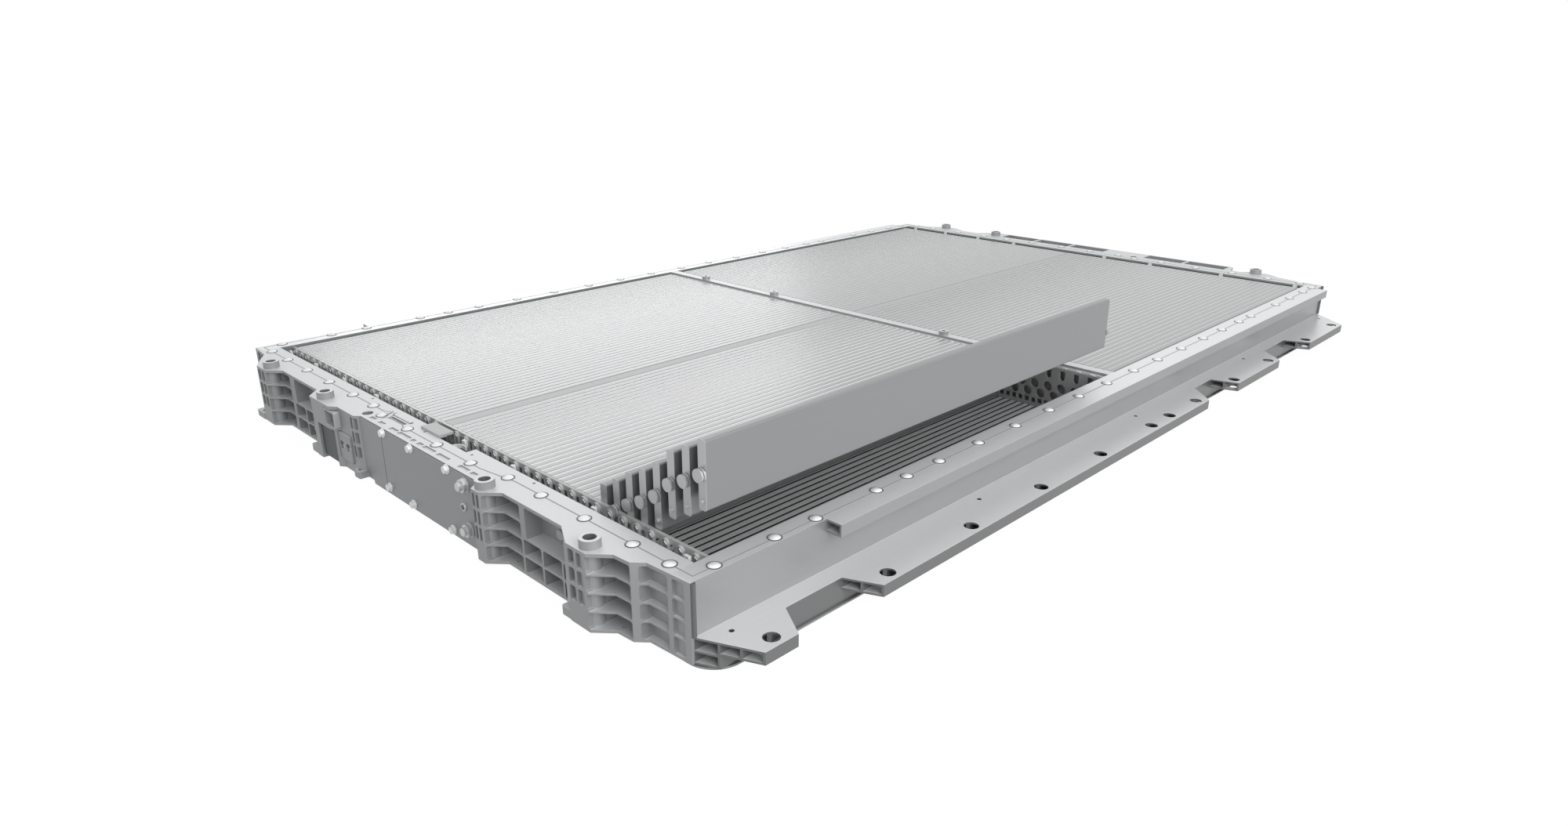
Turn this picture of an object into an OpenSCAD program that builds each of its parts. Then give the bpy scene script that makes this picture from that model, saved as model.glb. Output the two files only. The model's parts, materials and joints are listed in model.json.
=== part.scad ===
// Vehicle battery pack with its lid off. Two hollow side rails and two ribbed cast end
// frames hold two rows of long flat cells that stand on edge. Eight cells are lifted out
// of the near right bay, one from every second slot.
// X runs across, Y along the rails and Z up. The front frame is at the low end of Y.

/* [Cells] */
// Length of a cell can
cell_l = 960; // [900:5:1000]
// Height of a cell can
cell_h = 90; // [84:1:100]
// Thickness of a cell can
cell_t = 13.5; // [13:0.1:14.5]
// Gap between neighbouring cells
cell_gap = 0.8; // [0.6:0.1:1.6]
// Radius of the long edges of a can
cell_edge_r = 3; // [1:0.1:4]
// Cells across each row, left of the spacer strip
left_count = 42; // [38:1:46]
// Cells across each row, right of the spacer strip
right_count = 43; // [38:1:46]
// Diameter of a terminal disc
term_d = 17.5; // [14:0.1:18.5]
// Thickness of each of the two discs of a terminal
term_disc_t = 2.8; // [2:0.1:3.2]
// Gap between the two discs of a terminal
term_neck_t = 1.2; // [0.8:0.1:1.6]
// Gap between a terminal and the end of its can, so that it clears the next can
term_seat = 0.8; // [0.5:0.1:1.2]
// Height of the upper terminal above the bottom of a can
term_high = 46.5; // [44:0.5:50]
// Height of the lower terminal above the bottom of a can
term_low = 28.5; // [26:0.5:30]
// Height of the vent plug above the bottom of a can
vent_z = 12; // [10:0.5:13]
// Diameter of the vent plug
vent_d = 5.5; // [4:0.1:7]
// How far the vent plug stands out
vent_l = 3.5; // [2:0.1:5]

/* [Open bay] */
// Slots in the open bay, counted from the right rail
bay_slots = 15; // [15:1:19]
// Lifted cells, one in every second slot
lifted_count = 8; // [8:1:8]

/* [Layout] */
// Room for the strip between the left and right stacks
spacer_room = 25; // [18:1:34]
// Clearance on each side of the spacer strip
spacer_fit = 0.5; // [0.3:0.1:2]
// Gap between the outermost cell and the rail
side_gap = 8; // [4:0.5:12]
// Room from the end of a rail to the cells
end_room = 59.7; // [58:0.1:66]
// Room between the front and rear cells
mid_room = 45.6; // [44:0.1:52]
// Height of the rim above the seated cells
top_drop = 3.3; // [2:0.1:8]

/* [Floor] */
// Thickness of the bottom plate
plate_t = 4; // [3:0.1:6]
// How far the bottom plate reaches out past the rails
plate_lip = 33; // [30:0.5:40]
// Corner radius of the bottom plate
plate_r = 45; // [20:1:80]
// Thickness of the seal on the bottom plate
seal_t = 1.2; // [0.8:0.1:2]
// Width of the seal
seal_w = 14; // [8:0.5:20]
// Thickness of the floor panel
floor_t = 13.2; // [11:0.1:18]
// Wall thickness of the floor panel
floor_wall = 2.5; // [1.5:0.1:3]
// Number of hollow channels in the floor panel
floor_channels = 30; // [20:1:40]
// Thickness of the strips under the cells
pad_t = 1.5; // [1:0.1:3]
// Gap between neighbouring floor strips
pad_gap = 2.4; // [1.5:0.1:4]

/* [Side rails] */
// Width of the body of a rail
rail_w = 33; // [30:0.5:40]
// Wall thickness of the rails
rail_wall = 3; // [2:0.1:4]
// Width of the upper box outside the rail
box_w = 25; // [18:0.5:32]
// Height of the upper box
box_h = 18; // [14:0.5:26]
// Start of the upper box from the front end of the rail
box_start = 225; // [180:5:300]
// End of the upper box before the rear end of the rail
box_end = 42; // [20:1:120]
// Drop from the rim to the top of the flange
flange_drop = 72; // [66:0.5:76]
// Thickness of the flange
flange_t = 17.3; // [14:0.1:20]
// Reach of the flange lugs
flange_w = 80.2; // [74:0.2:90]
// Reach of the lower box, where the lugs begin
lower_w = 29.5; // [28:0.5:32]
// Diameter of the large flange holes
flange_hole_d = 22; // [16:0.5:26]
// Distance of the large flange holes from the rail
flange_hole_x = 62.5; // [60:0.5:64]
// Diameter of the small flange holes
pin_hole_d = 7; // [4:0.5:10]
// Distance of the small flange holes from the rail
pin_hole_x = 20; // [14:0.5:22]

/* [End frames] */
// Thickness of the top plate of an end frame
top_t = 5; // [4:0.1:7]
// Thickness of the lowest shelf of an end frame
sole_t = 4; // [3:0.1:6]
// Thickness of the other shelves
shelf_t = 2.6; // [2:0.1:5]
// Number of tiers between the shelves
tiers = 4; // [3:1:5]
// Reach of the top plate in front of the rails
rim_reach = 23.5; // [20:0.5:26]
// Reach of the lugs in front of the rails
lug_reach = 46; // [44:0.5:52]
// Reach of the frame at its corners
corner_reach = 4; // [3:0.5:8]
// Reach of the middle face
face_reach = 27.5; // [26:0.5:34]
// Depth of the top plate behind the rail ends
rim_depth = 31; // [26:0.5:31]
// Depth of the wall behind the rail ends
wall_depth = 12; // [9:0.5:16]
// Thickness of the wall behind the pockets
wall_t = 6; // [4:0.1:8]
// Corner radius of the pockets
pocket_r = 4; // [2:0.1:6]
// Distance of the outer sleeves from the middle
sleeve_out_x = 506.5; // [500:0.5:512]
// Distance of the inner sleeves from the middle
sleeve_in_x = 262.5; // [256:0.5:266]
// Distance of the sleeves in front of the rails
sleeve_reach = 29; // [26:0.5:31]
// Bore of the sleeves
sleeve_bore_d = 17.5; // [14:0.5:18]
// Outside diameter of the sleeves
sleeve_d = 21; // [20:0.5:23]
// Outside diameter of the cast bosses round the sleeves
boss_d = 28; // [26:0.5:32]
// Height of the bosses above the rim
boss_h = 12; // [6:0.5:16]
// Reach of the rear ledge
ledge_reach = 70; // [60:1:80]
// Depth of the trays in the rear ledge
tray_depth = 22; // [10:1:40]
// Trays in the rear ledge
tray_count = 6; // [4:1:8]

/* [Middle beam] */
// Width of the middle beam
beam_w = 22; // [20:0.5:24]
// Wall thickness of the middle beam
beam_wall = 3; // [2:0.1:4]
// Outside diameter of the beam bosses
beam_boss_d = 20; // [16:0.5:21]
// Height of the beam bosses above the rim
beam_boss_h = 8; // [4:0.5:12]
// Bore of the beam bosses
beam_bore_d = 9; // [6:0.5:11]
// Distance of the outer beam bosses from the middle
beam_out_x = 498; // [480:1:520]
// Distance of the inner beam bosses from the middle
beam_in_x = 250; // [230:1:270]

/* [End isolators] */
// Thickness of an isolator plate
iso_t = 5; // [4:0.1:6.2]
// Clearance between an isolator and the cells
iso_fit = 0.5; // [0.4:0.1:0.8]
// Diameter of the terminal windows
iso_hole_d = 19; // [18.9:0.1:20]
// Depth of the arches in front of the end isolators
arch_depth = 4.5; // [3:0.1:5]
// Outside radius of the arches
arch_r = 7; // [6:0.5:11]
// Wall thickness of the arches
arch_t = 2; // [1.2:0.1:2.4]
// Thickness of the lip along the top of an end isolator
lip_t = 3; // [2:0.1:4]
// Height of the front wall of an end isolator above its foot
iso_wall_h = 32; // [10:1:50]
// Width of a clip and of the post under it
clip_w = 9; // [6:0.5:12]
// Height of a clip
clip_h = 5; // [3:0.5:8]
// Thickness of a busbar
bus_t = 2.5; // [1.5:0.1:2.5]
// Gap at each end of a busbar
bus_gap = 1.8; // [1:0.1:3]

/* [Front fittings] */
// Thickness of the cover plates
cover_t = 2.5; // [1.5:0.1:4]
// Gap between the two cover plates
cover_gap = 1.5; // [0.8:0.1:3]
// Length of the port stubs
stub_l = 8; // [6:0.5:14]
// Diameter of the port stubs
stub_d = 20; // [12:0.5:22]
// Diameter of the washer of a cover screw
cover_washer_d = 15; // [10:0.5:17]
// Length of the right cover plate
cover_right_l = 293; // [280:1:300]
// Diameter of the head of a rim screw
screw_head_d = 17.5; // [12:0.5:19]
// Height of the head of a rim screw
screw_head_h = 3.4; // [3:0.1:6]
// Shank diameter of a rim screw
screw_d = 6; // [4:0.5:7]
// Distance of the rim screws from the outside of the rail
screw_edge = 11; // [9.5:0.5:14]

/* [Hidden] */

$fn = 32;
cut = 1;

pitch = cell_t + cell_gap;
case_w = 2 * (rail_w + side_gap) + (left_count + right_count) * pitch
    - 2 * cell_gap + spacer_room;
case_l = 2 * (cell_l + end_room) + mid_room;
case_h = floor_t + pad_t + cell_h + top_drop;
hx = case_w / 2;
inner_x = hx - rail_w;
base_z = plate_t + seal_t;
cell_z = floor_t + pad_t;
front_y = end_room;
rear_y = end_room + cell_l + mid_room;
term_l = term_seat + 2 * term_disc_t + term_neck_t;
right_x0 = inner_x - side_gap - cell_t / 2;
spacer_x0 = -right_x0 + (left_count - 1) * pitch + cell_t / 2;
spacer_x1 = right_x0 - (right_count - 1) * pitch - cell_t / 2;

flange_top = case_h - flange_drop;
flange_bot = flange_top - flange_t;
box_bot = case_h - box_h;
face_left_x = -130;
face_right_x = 239;
front_reach = lug_reach;

// Height of each lifted cell above its seat, from the middle of the pack outwards
lift_heights = [26, 42, 60, 74, 91, 115.5, 129.5, 145.5];
// Places along a rail, measured from its front end, from its middle and from its rear end
function along_rail(front, middle, rear) = concat(front,
    [for (y = middle) case_l / 2 + y], [for (y = rear) case_l - y]);
// Large and small holes along each flange
flange_hole_y = along_rail([63, 275, 462.5, 650], [-205, -17.5, 55.5, 169.5],
    [689, 504, 273, 92]);
pin_hole_y = along_rail([40, 545], [7.5], [530, 50]);
// Lugs of each flange: inner and outer start, outer and inner end
flange_lugs = [[0, 36, 90, 120], [223, 246, case_l - 852, case_l - 800],
    [case_l - 722, case_l - 707, case_l - 484, case_l - 435],
    [case_l - 313, case_l - 291, case_l - 72, case_l]];
// Rim screws along each rail
side_screw_y = along_rail([43, 142, 216, 337, 404, 480, 580, 683],
    [-257.5, -159.5, -59.5, 43.5, 142.5, 247.5], [691, 596, 504, 437, 287, 197, 107, 44]);
// Rim screws across each end frame
end_screw_x = [-609, -530, -438, -340, -242, -163, -109, -20, 74, 174, 258, 341, 440,
    540, 610];
rear_sleeves = [-485, 323, 515];
end_screw_y = 9;
face_screw_y = -1.5;
function screw_y(x) = x > face_left_x && x < 200 ? face_screw_y : end_screw_y;
rear_flush_x = -150;
front_flush_x = -136;

// Frame of the case: the front ends of the rails at Y 0 and their undersides at Z 0
module in_case() {
    translate([0, -(case_l + ledge_reach - front_reach) / 2, base_z]) children();
}

// The same frame turned round, for what sits at the rear end
module at_rear() {
    translate([0, case_l, 0]) rotate([0, 0, 180]) children();
}

function right_x(i) = right_x0 - i * pitch;
function left_x(i) = -right_x(i);

// Rectangle from one corner to the other with round corners
module round_rect(x0, y0, x1, y1, r) {
    translate([x0 + r, y0]) square([x1 - x0 - 2 * r, y1 - y0]);
    translate([x0, y0 + r]) square([x1 - x0, y1 - y0 - 2 * r]);
    for (x = [x0 + r, x1 - r], y = [y0 + r, y1 - r]) translate([x, y]) circle(r);
}

// Extrusion of an X-Z outline along Y from y0 to y1
module along_y(y0, y1) {
    translate([0, y1, 0]) rotate([90, 0, 0]) linear_extrude(y1 - y0) children();
}

// One cell at the origin of its slot. The near end shows its upper terminal.
module terminal() {
    cylinder(h = term_l, d = term_d * 0.7);
    for (z = [term_seat, term_l - term_disc_t]) translate([0, 0, z])
        cylinder(h = term_disc_t, d = term_d);
}

module cell_end(z) {
    translate([0, 0, z]) rotate([90, 0, 0]) terminal();
    translate([0, 0, vent_z]) rotate([90, 0, 0]) cylinder(h = vent_l, d = vent_d);
}

module cell(near_high) {
    along_y(0, cell_l) round_rect(-cell_t / 2, 0, cell_t / 2, cell_h, cell_edge_r);
    cell_end(near_high ? term_high : term_low);
    translate([0, cell_l, 0]) rotate([0, 0, 180]) cell_end(near_high ? term_low : term_high);
}

module seated_cells(y, xs, flip) {
    for (i = [0 : len(xs) - 1])
        translate([xs[i], y, cell_z]) cell((i + flip) % 2 == 0);
}

module cells_front_left() {
    color("gainsboro") in_case()
        seated_cells(front_y, [for (i = [0 : left_count - 1]) left_x(i)], 0);
}
module cells_front_right() {
    color("gainsboro") in_case() seated_cells(front_y,
        [for (i = [bay_slots : right_count - 1]) right_x(i)], bay_slots);
}
module cells_rear_left() {
    color("gainsboro") in_case()
        seated_cells(rear_y, [for (i = [0 : left_count - 1]) left_x(i)], 0);
}
module cells_rear_right() {
    color("gainsboro") in_case()
        seated_cells(rear_y, [for (i = [0 : right_count - 1]) right_x(i)], 0);
}
module lifted_cell(k) {
    color("silver") in_case()
        translate([right_x(2 * (lifted_count - k)), front_y, cell_z + lift_heights[k - 1]])
        cell(true);
}

// Strips between the stacks, and strips on the floor
module spacer_strip(y) {
    color("gainsboro") in_case() translate([0, y, 0])
        along_y(0, cell_l) difference() {
            round_rect(spacer_x0 + spacer_fit, floor_t, spacer_x1 - spacer_fit,
                case_h - top_drop, cell_edge_r);
            for (x = [spacer_x0 + spacer_fit + 3, (spacer_x0 + spacer_x1) / 2 + 1.5])
                translate([x, floor_t + 3])
                    square([(spacer_x1 - spacer_x0) / 2 - spacer_fit - 4.5,
                        case_h - top_drop - floor_t - 6]);
        }
}
module spacer_strip_front() { spacer_strip(front_y); }
module spacer_strip_rear() { spacer_strip(rear_y); }

module floor_strips(y) {
    xs = concat([for (i = [0 : left_count - 1]) left_x(i)],
        [for (i = [0 : right_count - 1]) right_x(i)]);
    color("gray") in_case() for (x = xs)
        translate([x - (pitch - pad_gap) / 2, y, floor_t])
            cube([pitch - pad_gap, cell_l, pad_t]);
}
module floor_strips_front() { floor_strips(front_y); }
module floor_strips_rear() { floor_strips(rear_y); }

module floor_panel() {
    channel_pitch = (2 * inner_x - floor_wall) / floor_channels;
    color("silver") in_case() along_y(wall_depth, case_l - wall_depth) difference() {
        translate([-inner_x, 0]) square([2 * inner_x, floor_t]);
        for (i = [0 : floor_channels - 1])
            translate([-inner_x + floor_wall + i * channel_pitch, floor_wall])
                square([channel_pitch - floor_wall, floor_t - 2 * floor_wall]);
    }
}

module plate_outline(inset) {
    round_rect(-hx - plate_lip + inset, -corner_reach + 2 + inset, hx + plate_lip - inset,
        case_l + corner_reach - 2 - inset, plate_r - inset);
}
module bottom_plate() {
    color("dimgray") in_case() translate([0, 0, -base_z]) {
        linear_extrude(plate_t / 2) plate_outline(plate_t / 2);
        translate([0, 0, plate_t / 2]) linear_extrude(plate_t / 2) plate_outline(0);
    }
}
module bottom_seal() {
    color("black") in_case() translate([0, 0, -seal_t]) linear_extrude(seal_t)
        difference() {
            plate_outline(plate_lip - lower_w + 2);
            plate_outline(plate_lip - lower_w + 2 + seal_w);
        }
}

// Side rail, drawn on the right with the outside of its body at X 0
module rail_section() {
    difference() {
        polygon([[-rail_w, 0], [lower_w, 0], [lower_w, flange_bot], [flange_w, flange_bot],
            [flange_w, flange_top], [0, flange_top], [0, box_bot], [box_w, box_bot],
            [box_w, case_h], [-rail_w, case_h]]);
        for (z = [[rail_wall, flange_top - rail_wall], [flange_top, box_bot - rail_wall],
            [box_bot, case_h - rail_wall]])
            translate([-rail_w + rail_wall, z[0]])
                square([rail_w - 2 * rail_wall, z[1] - z[0]]);
        translate([0, rail_wall])
            square([lower_w - rail_wall, flange_top - 2 * rail_wall]);
        for (x = [[lower_w, (lower_w + flange_w) / 2 - rail_wall],
            [(lower_w + flange_w) / 2, flange_w - rail_wall]])
            translate([x[0], flange_bot + rail_wall])
                square([x[1] - x[0], flange_t - 2 * rail_wall]);
        translate([0, box_bot + rail_wall])
            square([box_w - rail_wall, box_h - 2 * rail_wall]);
    }
    translate([0, flange_bot - rail_wall])
        square([lower_w - rail_wall, rail_wall]);
}

module flange_gap(y0, y1, y2, y3) {
    translate([0, 0, flange_bot - cut]) linear_extrude(flange_t + 2 * cut)
        polygon([[lower_w, y0], [flange_w, y1], [flange_w + cut, y1], [flange_w + cut, y2],
            [flange_w, y2], [lower_w, y3]]);
}

module rail() {
    last = flange_lugs[3];
    difference() {
        along_y(0, case_l) rail_section();
        for (i = [0 : 2])
            flange_gap(flange_lugs[i][3], flange_lugs[i][2], flange_lugs[i + 1][1],
                flange_lugs[i + 1][0]);
        translate([0, 0, -cut]) linear_extrude(flange_top + 2 * cut) {
            polygon([[0, -cut], [flange_w + cut, -cut],
                [flange_w + cut, flange_lugs[0][1]], [flange_w, flange_lugs[0][1]], [0, 0]]);
            polygon([[0, case_l + cut], [flange_w + cut, case_l + cut],
                [flange_w + cut, last[2]], [flange_w, last[2]], [0, case_l]]);
        }
        for (y = [[-cut, box_start], [case_l - box_end, case_l + cut]])
            translate([0, y[0], box_bot - cut])
                cube([box_w + cut, y[1] - y[0], box_h + 2 * cut]);
        for (y = flange_hole_y) translate([flange_hole_x, y, flange_bot - cut])
            cylinder(h = flange_t + 2 * cut, d = flange_hole_d);
        for (y = pin_hole_y) translate([pin_hole_x, y, flange_top - rail_wall - cut])
            cylinder(h = rail_wall + 2 * cut, d = pin_hole_d);
        for (y = side_screw_y) translate([-screw_edge, y, case_h - rail_wall - cut])
            cylinder(h = rail_wall + 2 * cut, d = screw_d);
    }
}
module rail_right() { color("lightgray") in_case() translate([hx, 0, 0]) rail(); }
module rail_left() { color("lightgray") in_case() mirror([1, 0, 0]) translate([hx, 0, 0]) rail(); }

// End frames. Outlines are seen from above, with the outside towards low Y.
fitting_reach = 36;
function lug(x) = [[x - 70, -rim_reach], [x - 28, -lug_reach], [x + 13, -lug_reach],
    [x + 38, -rim_reach]];
inner_edge = [[hx, 0], [inner_x, 0], [inner_x, wall_depth], [-inner_x, wall_depth],
    [-inner_x, 0], [-hx, 0]];
front_outline = concat([[-hx, -corner_reach], [-hx + 60, -corner_reach - 5]],
    lug(-sleeve_out_x),
    [[-sleeve_in_x - 52, -rim_reach], [-sleeve_in_x - 28, -lug_reach],
     [-sleeve_in_x + 47, -lug_reach], [-sleeve_in_x + 62, -fitting_reach],
     [face_left_x - 10, -fitting_reach], [face_left_x, -face_reach],
     [face_right_x, -face_reach], [sleeve_in_x - 9, -lug_reach],
     [sleeve_in_x + 10, -lug_reach], [sleeve_in_x + 35, -rim_reach]],
    lug(sleeve_out_x),
    [[hx - 87, -rim_reach + 2], [hx - 72, -corner_reach - 4], [hx, -corner_reach]],
    inner_edge);
ledge_x0 = -410;
ledge_x1 = 329;
rear_outline = concat([[-hx, -corner_reach], [-hx + 60, -corner_reach - 5],
    [rear_sleeves[0] - 60, -rim_reach], [rear_sleeves[0] - 28, -lug_reach],
    [rear_sleeves[0] + 13, -lug_reach], [rear_sleeves[0] + 38, -rim_reach],
    [ledge_x0 - 12, -rim_reach], [ledge_x0, -ledge_reach], [ledge_x1, -ledge_reach],
    [ledge_x1 + 40, -lug_reach], [ledge_x1 + 62, -rim_reach]],
    lug(rear_sleeves[2]),
    [[hx - 72, -corner_reach - 4], [hx, -corner_reach]],
    inner_edge);

module frame_body(outline) {
    linear_extrude(case_h) polygon(outline);
    translate([-inner_x, 0, case_h - top_t]) cube([2 * inner_x, rim_depth, top_t]);
}

// Pocket cut from the outside as far back as y
module pocket(x0, x1, z0, z1, y, r = pocket_r) {
    along_y(-ledge_reach - cut, y) round_rect(x0, z0, x1, z1, r);
}

back_y = wall_depth - wall_t;
tier_pitch = (case_h - top_t - sole_t + shelf_t) / tiers;
function tier_z0(k) = sole_t + k * tier_pitch;
function tier_z1(k) = sole_t + (k + 1) * tier_pitch - shelf_t;

module tier_pockets(x0, x1, y) {
    for (k = [0 : tiers - 1]) pocket(x0, x1, tier_z0(k), tier_z1(k), y);
}

// Two columns of narrow slots in a face that reaches out to reach, three high
slot_h = 21;
slot_rib = 4;
slot_deep = 7;
module slot_pockets(x, w, reach) {
    for (i = [0, 1], k = [1 : 3])
        pocket(x + i * (w + slot_rib), x + i * (w + slot_rib) + w,
            case_h - top_t - k * (slot_h + slot_rib) + slot_rib,
            case_h - top_t - (k - 1) * (slot_h + slot_rib), -reach + slot_deep,
            min(pocket_r, w / 3));
}

// Recess over two rows of pockets, between two lugs
lower_row = 24;
module recess_pockets(x) {
    pocket(x + 86, x + 186, sole_t + 2 * (lower_row + shelf_t), case_h - top_t, back_y - 4);
    for (c = [[78, 121], [125, 168], [172, 186]], k = [0, 1])
        pocket(x + c[0], x + c[1], sole_t + k * (lower_row + shelf_t),
            sole_t + k * (lower_row + shelf_t) + lower_row, back_y);
}

// Round columns at the sleeves. The one over the power connector starts above it.
power_z1 = 66;
function sleeve_z0(x) = x == -sleeve_in_x ? power_z1 : 0;
module sleeve_columns(xs, d, below, z1) {
    for (x = xs) translate([x, -sleeve_reach, sleeve_z0(x) - below])
        cylinder(h = z1 - sleeve_z0(x) + below, d = d);
}

module frame(outline, sleeves, flush_x) {
    difference() {
        union() {
            difference() {
                frame_body(outline);
                children();
            }
            sleeve_columns(sleeves, boss_d, 0, case_h + boss_h);
        }
        sleeve_columns(sleeves, sleeve_d, cut, case_h + boss_h + cut);
        translate([flush_x, -13, case_h - top_t - 20]) cylinder(h = 40, d = sleeve_bore_d);
        for (x = end_screw_x) translate([x, screw_y(x), case_h - top_t - cut])
            cylinder(h = top_t + 2 * cut, d = screw_d);
    }
}

// Cavity behind the cover plates
cavity_x0 = -112;
cavity_x1 = 205;
cavity_z0 = 12;
cavity_z1 = 94;
front_sleeves = [-sleeve_out_x, -sleeve_in_x, sleeve_in_x, sleeve_out_x];

module front_frame() {
    color("lightgray") in_case() frame(front_outline, front_sleeves, front_flush_x) {
        for (x = [-sleeve_out_x, sleeve_out_x]) {
            tier_pockets(x + 10, x + 66, back_y);
            slot_pockets(x - 25, 13, lug_reach);
        }
        tier_pockets(sleeve_in_x + 12, sleeve_in_x + 74, back_y);
        slot_pockets(sleeve_in_x - 8, 6.5, lug_reach);
        recess_pockets(-sleeve_out_x);
        recess_pockets(sleeve_in_x);
        tier_pockets(sleeve_out_x + 74, hx - 38, back_y - 4);
        tier_pockets(-inner_x + 2, -hx + 80, back_y - 4);
        corner_cups();
        fitting_pockets();
        pocket(cavity_x0, cavity_x1, cavity_z0, cavity_z1, back_y);
        top_recesses();
        rim_notch();
        drain_holes();
    }
    color("lightgray") in_case() tabs();
}

// Shallow cups at the two corners, in front of the rail ends
module corner_cups() {
    for (side = [-1, 1]) translate([side * (hx - rail_w / 2 - 4), 0, 0])
        tier_pockets(-10, 10, -1);
}

// Openings round the power, terminal and signal fittings
module fitting_pockets() {
    x = -sleeve_in_x;
    pocket(x - 40, x - 24, sole_t, 46, -lug_reach + 12);
    pocket(x - 40, x - 24, 50, case_h - top_t, -lug_reach + 12);
    slot_pockets(face_left_x - 24, 7, fitting_reach);
    pocket(power_x0, power_x1, -2 * pocket_r, power_z1, back_y);
    pocket(signal_x0, signal_x1, signal_z0, signal_z1, back_y - 8);
    pocket(term_x0, term_x1, term_z0, term_z1, back_y);
}

// Shallow recesses in the top of the middle of the front frame: start and end along X
recess_spans = [[-115, -98], [-84, -67], [-45, -22], [-17, 20], [26, 36], [46, 60],
    [65, 98], [107, 140], [170, 197], [205, 219]];
recess_deep = 2;
module top_recesses() {
    for (s = recess_spans) translate([s[0], -21, case_h - recess_deep])
        cube([s[1] - s[0], 7, recess_deep + cut]);
}

// Notch in the rim for the connector at the middle
notch_x0 = -10;
notch_x1 = 132;
notch_y = 15;
module rim_notch() {
    translate([notch_x0, notch_y, case_h - top_t - cut])
        cube([notch_x1 - notch_x0, rim_depth - notch_y + cut, top_t + 2 * cut]);
}

// Tabs at the foot of the front frame, each with a hole: start and end along X, and reach
foot_tabs = [[-575, -537, 47], [-320, -284, 45], [-154, -132, 43], [456, 484, 45]];
tab_h = 12;
tab_hole_d = 8;
module tabs() {
    for (t = foot_tabs) difference() {
        linear_extrude(tab_h) round_rect(t[0], -t[2], t[1], -12, pocket_r);
        translate([(t[0] + t[1]) / 2, -t[2] + tab_hole_d, -cut])
            cylinder(h = tab_h + 2 * cut, d = tab_hole_d);
    }
}

// Drain holes in the lowest shelf
drain_d = 5;
module drain_holes() {
    for (x = [-sleeve_out_x + 38, sleeve_in_x + 43, sleeve_out_x + 38])
        translate([x, -13, -cut]) cylinder(h = sole_t + 2 * cut, d = drain_d);
}

module rear_frame() {
    tray_pitch = (rear_sleeves[1] - boss_d / 2 - 6 - ledge_x0 - 8) / tray_count;
    bay = (ledge_x1 - ledge_x0) / 8;
    color("lightgray") in_case() at_rear() frame(rear_outline, rear_sleeves, rear_flush_x) {
        for (x = [rear_sleeves[0], rear_sleeves[2]]) {
            tier_pockets(x + 10, x + 48, back_y);
            slot_pockets(x - 25, 13, lug_reach);
        }
        tier_pockets(-inner_x + 2, -hx + 80, back_y - 4);
        tier_pockets(hx - 80, hx - 38, back_y - 4);
        corner_cups();
        for (i = [0 : tray_count - 1]) if (i != 2)
            translate([ledge_x0 + 8 + i * tray_pitch, -ledge_reach + 6, case_h - tray_depth])
                cube([tray_pitch - 8, ledge_reach - rim_reach - 4, tray_depth + cut]);
        for (i = [0 : 7], k = [0, 1])
            pocket(ledge_x0 + 6 + i * bay, ledge_x0 + (i + 1) * bay, sole_t + k * 40,
                sole_t + k * 40 + 36, back_y);
    }
}

module middle_beam() {
    boss_x = [-beam_out_x, -beam_in_x, beam_in_x, beam_out_x];
    color("lightgray") in_case() translate([0, case_l / 2, 0]) difference() {
        union() {
            difference() {
                translate([-inner_x, -beam_w / 2, floor_t])
                    cube([2 * inner_x, beam_w, case_h - floor_t]);
                for (z = [[floor_t + beam_wall, case_h / 2],
                    [case_h / 2 + beam_wall, case_h - beam_wall]])
                    translate([-inner_x - cut, -beam_w / 2 + beam_wall, z[0]])
                        cube([2 * inner_x + 2 * cut, beam_w - 2 * beam_wall, z[1] - z[0]]);
            }
            for (x = boss_x) translate([x, 0, floor_t])
                cylinder(h = case_h - floor_t + beam_boss_h, d = beam_boss_d);
        }
        for (x = boss_x) translate([x, 0, floor_t - cut])
            cylinder(h = case_h + beam_boss_h, d = beam_bore_d);
    }
}

// Isolators: a window for each terminal and vent plug, drawn from the cell end outwards.
// A slot stands above each upper window.
slot_z = 69.5;
module window_rows(xs) {
    for (i = [0 : len(xs) - 1]) {
        high = xs[i][1] == 0;
        translate([xs[i][0], cell_z + (high ? term_high : term_low)]) circle(d = iso_hole_d);
        translate([xs[i][0] - 5, cell_z + vent_z - 5]) square(10);
        if (high) {
            translate([xs[i][0], cell_z + slot_z]) circle(6);
            translate([xs[i][0] - 6, cell_z + slot_z]) square([12, cell_h - slot_z - 8]);
        }
    }
}
function slot_list(flip) = concat(
    [for (i = [0 : left_count - 1]) [left_x(i), (i + flip) % 2]],
    [for (i = [0 : right_count - 1]) [right_x(i), (i + flip) % 2]]);

iso_x = inner_x - 1;
module iso_plate(flip) {
    translate([0, -iso_fit - iso_t, 0]) along_y(0, iso_t) difference() {
        translate([-iso_x, floor_t]) square([2 * iso_x, cell_z + cell_h - floor_t - lip_t]);
        window_rows(slot_list(flip));
    }
}

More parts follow.
